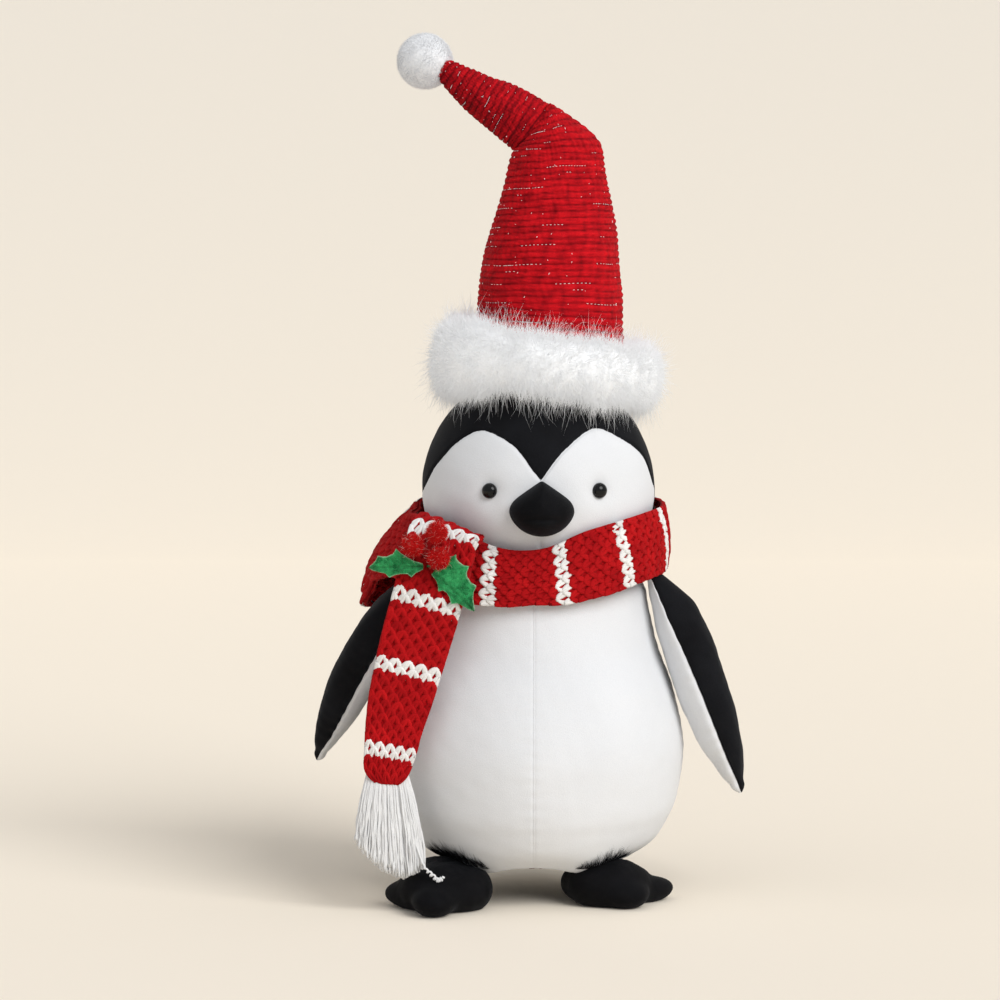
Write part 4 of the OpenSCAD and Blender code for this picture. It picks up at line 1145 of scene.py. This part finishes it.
HAT_FOLD = ("penguin", "hat_tip", CREASE - 10 * CREASE_WAY, CREASE + 24 * CREASE_WAY)


def hat_part(stations):
    """One part's outline as dense stations, and the lengths along its middle line."""
    dense = curve_through(stations, 600)
    middle = (dense[:, :2] + dense[:, 2:]) / 2
    along = np.r_[0, np.cumsum(np.linalg.norm(np.diff(middle, axis=0), axis=1))]
    return {"dense": dense, "middle": middle, "along": along, "long": float(along[-1])}


HAT_PARTS = {"cone": hat_part(HAT_CONE), "tip": hat_part(HAT_TIP)}


def cord_shift(along, turn, part):
    """How far the cords wander from straight rings, as an angle of their wave."""
    shift = 0.22 * np.sin(turn * 3 + 1) + 0.18 * np.sin(turn * 7 + 0.05 * along)
    return shift + (0.7 if part == "tip" else 0)


def cord_wave(along, turn, part):
    """Height of the cloth's cords, from 0 between them to 1 along their tops."""
    return np.abs(np.sin(math.pi * along / RIB + cord_shift(along, turn, part)))


def hat_surface(along, turn, out, part):
    """A point on the hat: along its middle line, turn about it with 0 on the outer side."""
    along, turn, out = np.broadcast_arrays(along, turn, out)
    f = HAT_PARTS[part]
    lx, lz, ux, uz = (np.interp(along, f["along"], f["dense"][:, k]) for k in range(4))
    x, z = (lx + ux) / 2, (lz + uz) / 2
    r = np.hypot(ux - lx, uz - lz) / 2
    ax, az = (ux - lx) / (2 * r), (uz - lz) / (2 * r)
    flat = np.stack([along, 40 * np.cos(turn), 40 * np.sin(turn)], -1)
    cord = 0.85 * cord_wave(along, turn, part) ** 0.6 - 0.8
    cord = cord + 0.42 * wobble(flat * [0.9, 1, 1], 3.0, 102)
    soft = 0.7 * wobble(flat, 42, 101)
    reach = r + out + cord + soft
    if part == "cone":
        # Where the outline closes at the crease, the cone is deeper than it is wide.
        narrow = 29
        deep = reach - r + np.sqrt(np.maximum(r, 0) * narrow) * 0.97
        deep = np.where(r < narrow, deep, reach)
    else:
        # The tip is pressed flat where it leaves the crease.
        deep = reach * (0.64 + 0.34 * np.clip(along / 55, 0, 1) ** 0.8)
    return np.stack([x + ax * reach * np.cos(turn), -deep * np.sin(turn),
                     z + az * reach * np.cos(turn)], -1)


def hat_tone(along, turn, part):
    """Painted shade between the cords, and on the tip painted shade that deepens towards its inner side;
    dark along the cloth's crossing lines and in uneven patches.
    """
    lines = turn / (2 * math.pi) * 23 + 0.10 * np.sin(along * 0.35) + 0.25 * np.sin(along * 0.07)
    line = np.exp(-(((lines + 0.5) % 1 - 0.5) / 0.09) ** 2)
    cord = np.floor(along / RIB)
    band = np.sin(cord * 2.4 + 0.6 * np.sin(cord * 5.1) + 0.8 * np.sin(turn * 2 + cord))
    flat = np.stack(np.broadcast_arrays(along * 1.6, 16 * np.cos(turn), 16 * np.sin(turn)), -1)
    fleck = wobble(flat, 3.5, 103)
    # The tip is darker all over and darker still on its inner side: painted shade.
    shade = 0.10 + 0.30 * (1 - np.cos(turn)) / 2 if part == "tip" else 0.0
    # The cord wave lightens the tops of the cords and leaves painted shade in the grooves between them.
    return np.clip(0.29 - shade + 0.62 * cord_wave(along, turn, part) ** 0.7 - 0.20 * line
                   - 0.13 * band + 0.26 * fleck, 0, 1)


def hat(part, rows, cols, close):
    """One part of the hat's cloth, closed at its end by a cap of the given height."""
    f = HAT_PARTS[part]
    along = np.linspace(0, f["long"], rows)[:, None]
    turn = np.arange(cols)[None] * 2 * math.pi / cols
    rings = hat_surface(along, turn, 0.0, part)
    tone = hat_tone(along, turn, part)
    # Rounded off past its last cord.
    cap_rings = 7
    middle = rings[-1].mean(0)
    step = f["middle"][-1] - f["middle"][-40]
    way = unit(np.array([step[0], 0, step[1]]))
    caps = [middle + (rings[-1] - middle) * math.cos(a) + way * close * math.sin(a)
            for a in np.linspace(0.25, 1.5, cap_rings)]
    rings = np.concatenate([rings, np.array(caps)])
    tone = np.concatenate([tone, np.repeat(tone[-1:], cap_rings, 0)])
    points, faces = lathe_rings(rings)
    tones = np.r_[tone.ravel(), tone[0, 0], tone[-1, 0]]
    piece = new_piece(f"hat_{part}_cloth", points, faces, RED_CLOTH, tones)
    nodes = ["hat_cone", "hat_stuffing"] if part == "cone" else ["hat_tip", "hat_tip_stuffing"]
    settle(piece, HAT_FOLD, "red_cloth", *nodes, fill=0.8)


def silver_threads(part, seed, flecks):
    """Short lengths of metallic thread: broken rows in the grooves between cords, and flecks."""
    rng = np.random.default_rng(seed)
    long = HAT_PARTS[part]["long"]
    spots = []
    for groove in range(1, int(long / RIB)):
        size = 0.5 * long / RIB / groove if part == "tip" else 1.0
        bright = groove % 3 == 1
        for _ in range(5 if bright else 2):
            start = rng.uniform(0, 2 * math.pi)
            for step in range(rng.integers(3, 11) if bright else rng.integers(1, 4)):
                spots.append((groove * RIB, start + step * 0.062 * min(size, 1.6),
                              rng.uniform(0.018, 0.032)))
    dashes = len(spots)
    for _ in range(flecks):
        spots.append((rng.uniform(12, long - 2), rng.uniform(0, 6.28), rng.uniform(0.002, 0.012)))
    spots = np.array(spots)
    along, start, size = spots.T[:, :, None]
    share = np.linspace(0, 1, 4)[None]
    slope = np.zeros((len(spots), 1))
    slope[dashes:] = rng.normal(size=(flecks, 1)) * 0.6
    turn = start + size * share
    shift = cord_shift(along, turn, part) * RIB / math.pi
    shift[dashes:] = 0
    paths = hat_surface(along + slope * share - shift, turn, 0.55, part)
    points, faces, _ = tubes(paths, np.full((len(spots), 4), 0.15), 4)
    settle(new_piece(f"hat_{part}_silver", points, faces, SILVER), HAT_FOLD, "red_cloth")


hat("cone", 330, 280, 1.5)
hat("tip", 200, 200, 3.0)
silver_threads("cone", 111, 170)
silver_threads("tip", 112, 36)

# ---- fur ----

# The trim's middle, its lean in degrees, its radius about the hat, and its section's half size.
TRIM = {"x": 8.5, "z": 346.0, "lean": 8.5, "r": 61.0, "wide": 12.5, "high": 16.5}


def trim_point(turn, around, out):
    """A point out from the trim's core: turn about the hat, around its own section."""
    left = np.clip(-np.cos(turn), 0, 1) ** 2
    lump = 1.3 * np.sin(turn * 5 + 1) + 1.0 * np.sin(turn * 9 + 4) + 0.7 * np.sin(turn * 17)
    wide, high = TRIM["wide"] + out + 0.5 * lump, TRIM["high"] + out + 0.7 * lump + 6.0 * left
    p = polar(TRIM["r"] + wide * np.cos(around), turn, high * np.sin(around))
    p[..., 2] -= 5.0 * left
    return turn_about(p, "Y", TRIM["lean"]) + [TRIM["x"], 0, TRIM["z"]]


def trim_core():
    """The trim's padded ring, under its fur."""
    rings, sides = 200, 40
    turn = np.arange(rings)[:, None] * 2 * math.pi / rings
    around = np.arange(sides)[None] * 2 * math.pi / sides
    p = trim_point(turn, around, 0.0)
    p = p + unit(p - p.mean(1, keepdims=True)) * (0.7 * wobble(p, 8, 121))[..., None]
    quads = grid_quads(rings + 1, sides, True) % (rings * sides)
    piece = new_piece("trim_core", p.reshape(-1, 3), [quads], FUR)
    settle(piece, "penguin", "white_fur", "hat_trim", fill=0.7)


def trim_fur(name, count, shortest, longest, radius, spread, lean, seed):
    """Hairs all over the trim's core, combed outwards, up along the hat and down over the brow."""
    rng = np.random.default_rng(seed)
    turn = rng.uniform(0, 2 * math.pi, count)
    around = rng.uniform(-2.2, 2.5, count)
    roots = trim_point(turn, around, -1.0)
    out = unit(trim_point(turn, around, 4.0) - roots)
    lift = np.sin(around)
    swirl = 0.9 + 0.8 * wobble(roots, 26, 126) + 0.25 * wobble(roots, 7, seed + 5)
    side = unit(np.stack([-np.sin(turn), np.cos(turn), 0 * turn], -1))
    down = np.cross(out, side)
    comb = side * np.sin(swirl * 3)[:, None] + down * np.cos(swirl * 3)[:, None] * 0.6
    way = unit(out * lean[0] + comb * lean[1] + spread * rng.normal(size=out.shape))
    sag = np.stack([0 * turn, 0 * turn, 0.30 * np.sign(lift) * np.abs(lift) - 0.12], -1)
    lengths = rng.uniform(shortest, longest, count) * (1 - 0.18 * np.cos(around) ** 2)
    hairs(name, roots, way, lengths, rng.uniform(0.7, 1.1, count) * radius, FUR, "white_fur",
          sag=sag, sway=0.13, seed=seed + 1)


trim_core()
UNDER_FUR = {"a": (9.0, 0.22, (0.85, 0.55), 122), "b": (9.5, 0.20, (0.85, 0.55), 124),
             "c": (10.0, 0.19, (0.8, 0.6), 130), "d": (10.5, 0.18, (0.8, 0.6), 126)}
for part, (longest, radius, lean, seed) in UNDER_FUR.items():
    trim_fur(f"trim_under_fur_{part}", 8800, 4.5, longest, radius, 0.60, lean, seed)
trim_fur("trim_long_fur", 5500, 9.0, 19.0, 0.12, 0.45, (0.9, 0.5), 128)

POMPOM_AT, POMPOM_R = np.array([-70.8, 6.0, 541.4]), 17.2


def pompom():
    """A dense round pompom at the hat's tip."""
    points, faces = lathe_rings(ball(POMPOM_AT, POMPOM_R, 0.3, 131, 60, 90))
    core = new_piece("pompom_core", points, faces, POMPOM_FUR)
    settle(core, "pompom", "pompom_fur", "pompom", fill=0.9)
    rng = np.random.default_rng(132)
    for name, seed in (("pompom_pile_a", 133), ("pompom_pile_b", 135)):
        aim = sphere_points(9000, seed)
        aim = unit(aim + 0.02 * rng.normal(size=aim.shape))
        hairs(name, POMPOM_AT + aim * (POMPOM_R - 0.2),
              unit(aim + 0.3 * rng.normal(size=aim.shape)), rng.uniform(0.8, 2.2, len(aim)), 0.10,
              POMPOM_FUR, "pompom_fur", body="pompom", steps=3, sway=0.12, seed=seed)


pompom()

# ---- hidden CAD solids keep their shape and get a finish ----

HIDDEN = {
    BLACK_PLUSH: ["base_panel"], BOARD: ["base_board"], POUCH: ["ballast_pouch"],
    PELLETS: ["ballast_pellets"], WASHER: ["eye_washer_left", "eye_washer_right"],
    WIRE: ["hat_wire", "hat_tip_wire"], GREEN_WIRE: ["holly_stem_wire"],
    STUFFING: ["body_stuffing", "head_stuffing"], THREAD: ["pompom_thread"],
}
for finish, names in HIDDEN.items():
    for name in names:
        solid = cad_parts[name]
        for place in solid.material_slots:
            place.material = finish

# ---- floor, light and camera ----

BACKDROP = np.array([0.849, 0.784, 0.687])
SUN, SUN_FROM, SUN_ANGLE = 2.15, unit(np.array([0.51, -0.60, 0.54])), math.radians(38)
SKY = np.array([0.50, 0.515, 0.545])


def floor():
    """A pale sweep: a flat floor that curves up into a wall far behind, painted so that it looks
    the same all over in this light."""
    # In metres.
    front, back, curve, top, half_width = -3.2, 2.6, 1.6, 5.0, 6.0
    bend = np.linspace(0, math.pi / 2, 40)[1:]
    line = [(front, 0.0), (back, 0.0)]
    line += [(back + curve * math.sin(a), curve - curve * math.cos(a)) for a in bend]
    line += [(back + curve, top)]
    tilt = np.r_[0, 0, bend, math.pi / 2]
    ys, zs = np.array(line).T
    grid = np.stack([np.broadcast_to([-half_width, half_width], (len(ys), 2)), np.repeat(ys[:, None], 2, 1),
                     np.repeat(zs[:, None], 2, 1)], -1)
    mesh = bpy.data.meshes.new("floor")
    mesh.from_pydata(grid.reshape(-1, 3).tolist(), [], grid_quads(len(ys), 2).tolist())
    mesh.polygons.foreach_set("use_smooth", np.full(len(mesh.polygons), True))
    up = np.cos(tilt)
    sun = np.maximum(0, -np.sin(tilt) * SUN_FROM[1] + up * SUN_FROM[2])
    lit = SKY * (1 + up[:, None]) / 2 + BACKDROP * (1 - up[:, None]) / 2 \
        + SUN * sun[:, None] / math.pi
    paint = np.repeat(np.minimum(BACKDROP / lit, 0.98), 2, axis=0)
    layer = mesh.color_attributes.new("paint", "FLOAT_COLOR", "POINT")
    layer.data.foreach_set("color", np.c_[paint, np.ones(len(paint))].ravel())
    grey = (0.8, 0.8, 0.8)
    material = cloth("floor_paper", grey, grey, 1.0, 2.0, 400, 0.0, specular=0.0)
    tree = material.node_tree
    painted = node(tree, "ShaderNodeAttribute", attribute_name="paint")
    shader = next(n for n in tree.nodes if n.type == "BSDF_PRINCIPLED")
    tree.links.new(painted.outputs["Color"], shader.inputs["Base Color"])
    mesh.materials.append(material)
    piece = bpy.data.objects.new("floor", mesh)
    bpy.context.collection.objects.link(piece)


floor()

key_data = bpy.data.lights.new("key", "SUN")
key_data.energy = SUN
key_data.angle = SUN_ANGLE
key = bpy.data.objects.new("key", key_data)
key.rotation_euler = Vector(SUN_FROM).to_track_quat("Z", "Y").to_euler()
bpy.context.collection.objects.link(key)
world = bpy.data.worlds.new("studio")
bpy.context.scene.world = world
world.use_nodes = True
world.node_tree.nodes["Background"].inputs["Color"].default_value = (*SKY, 1)
world.node_tree.nodes["Background"].inputs["Strength"].default_value = 1.0
bpy.context.scene.view_settings.view_transform = "Standard"

camera_data = bpy.data.cameras.new("camera")
camera_data.lens = 121.8
camera_data.sensor_width = 36.0
camera_data.clip_end = 50.0
camera = bpy.data.objects.new("camera", camera_data)
bpy.context.collection.objects.link(camera)
CAMERA_AT = Vector(row([0.0, -2200.0, 400.0]))
CAMERA_AIM = Vector(row([-22.1, 0.0, 256.8]))
camera.location = CAMERA_AT
camera.rotation_euler = (CAMERA_AT - CAMERA_AIM).to_track_quat("Z", "Y").to_euler()
bpy.context.scene.camera = camera
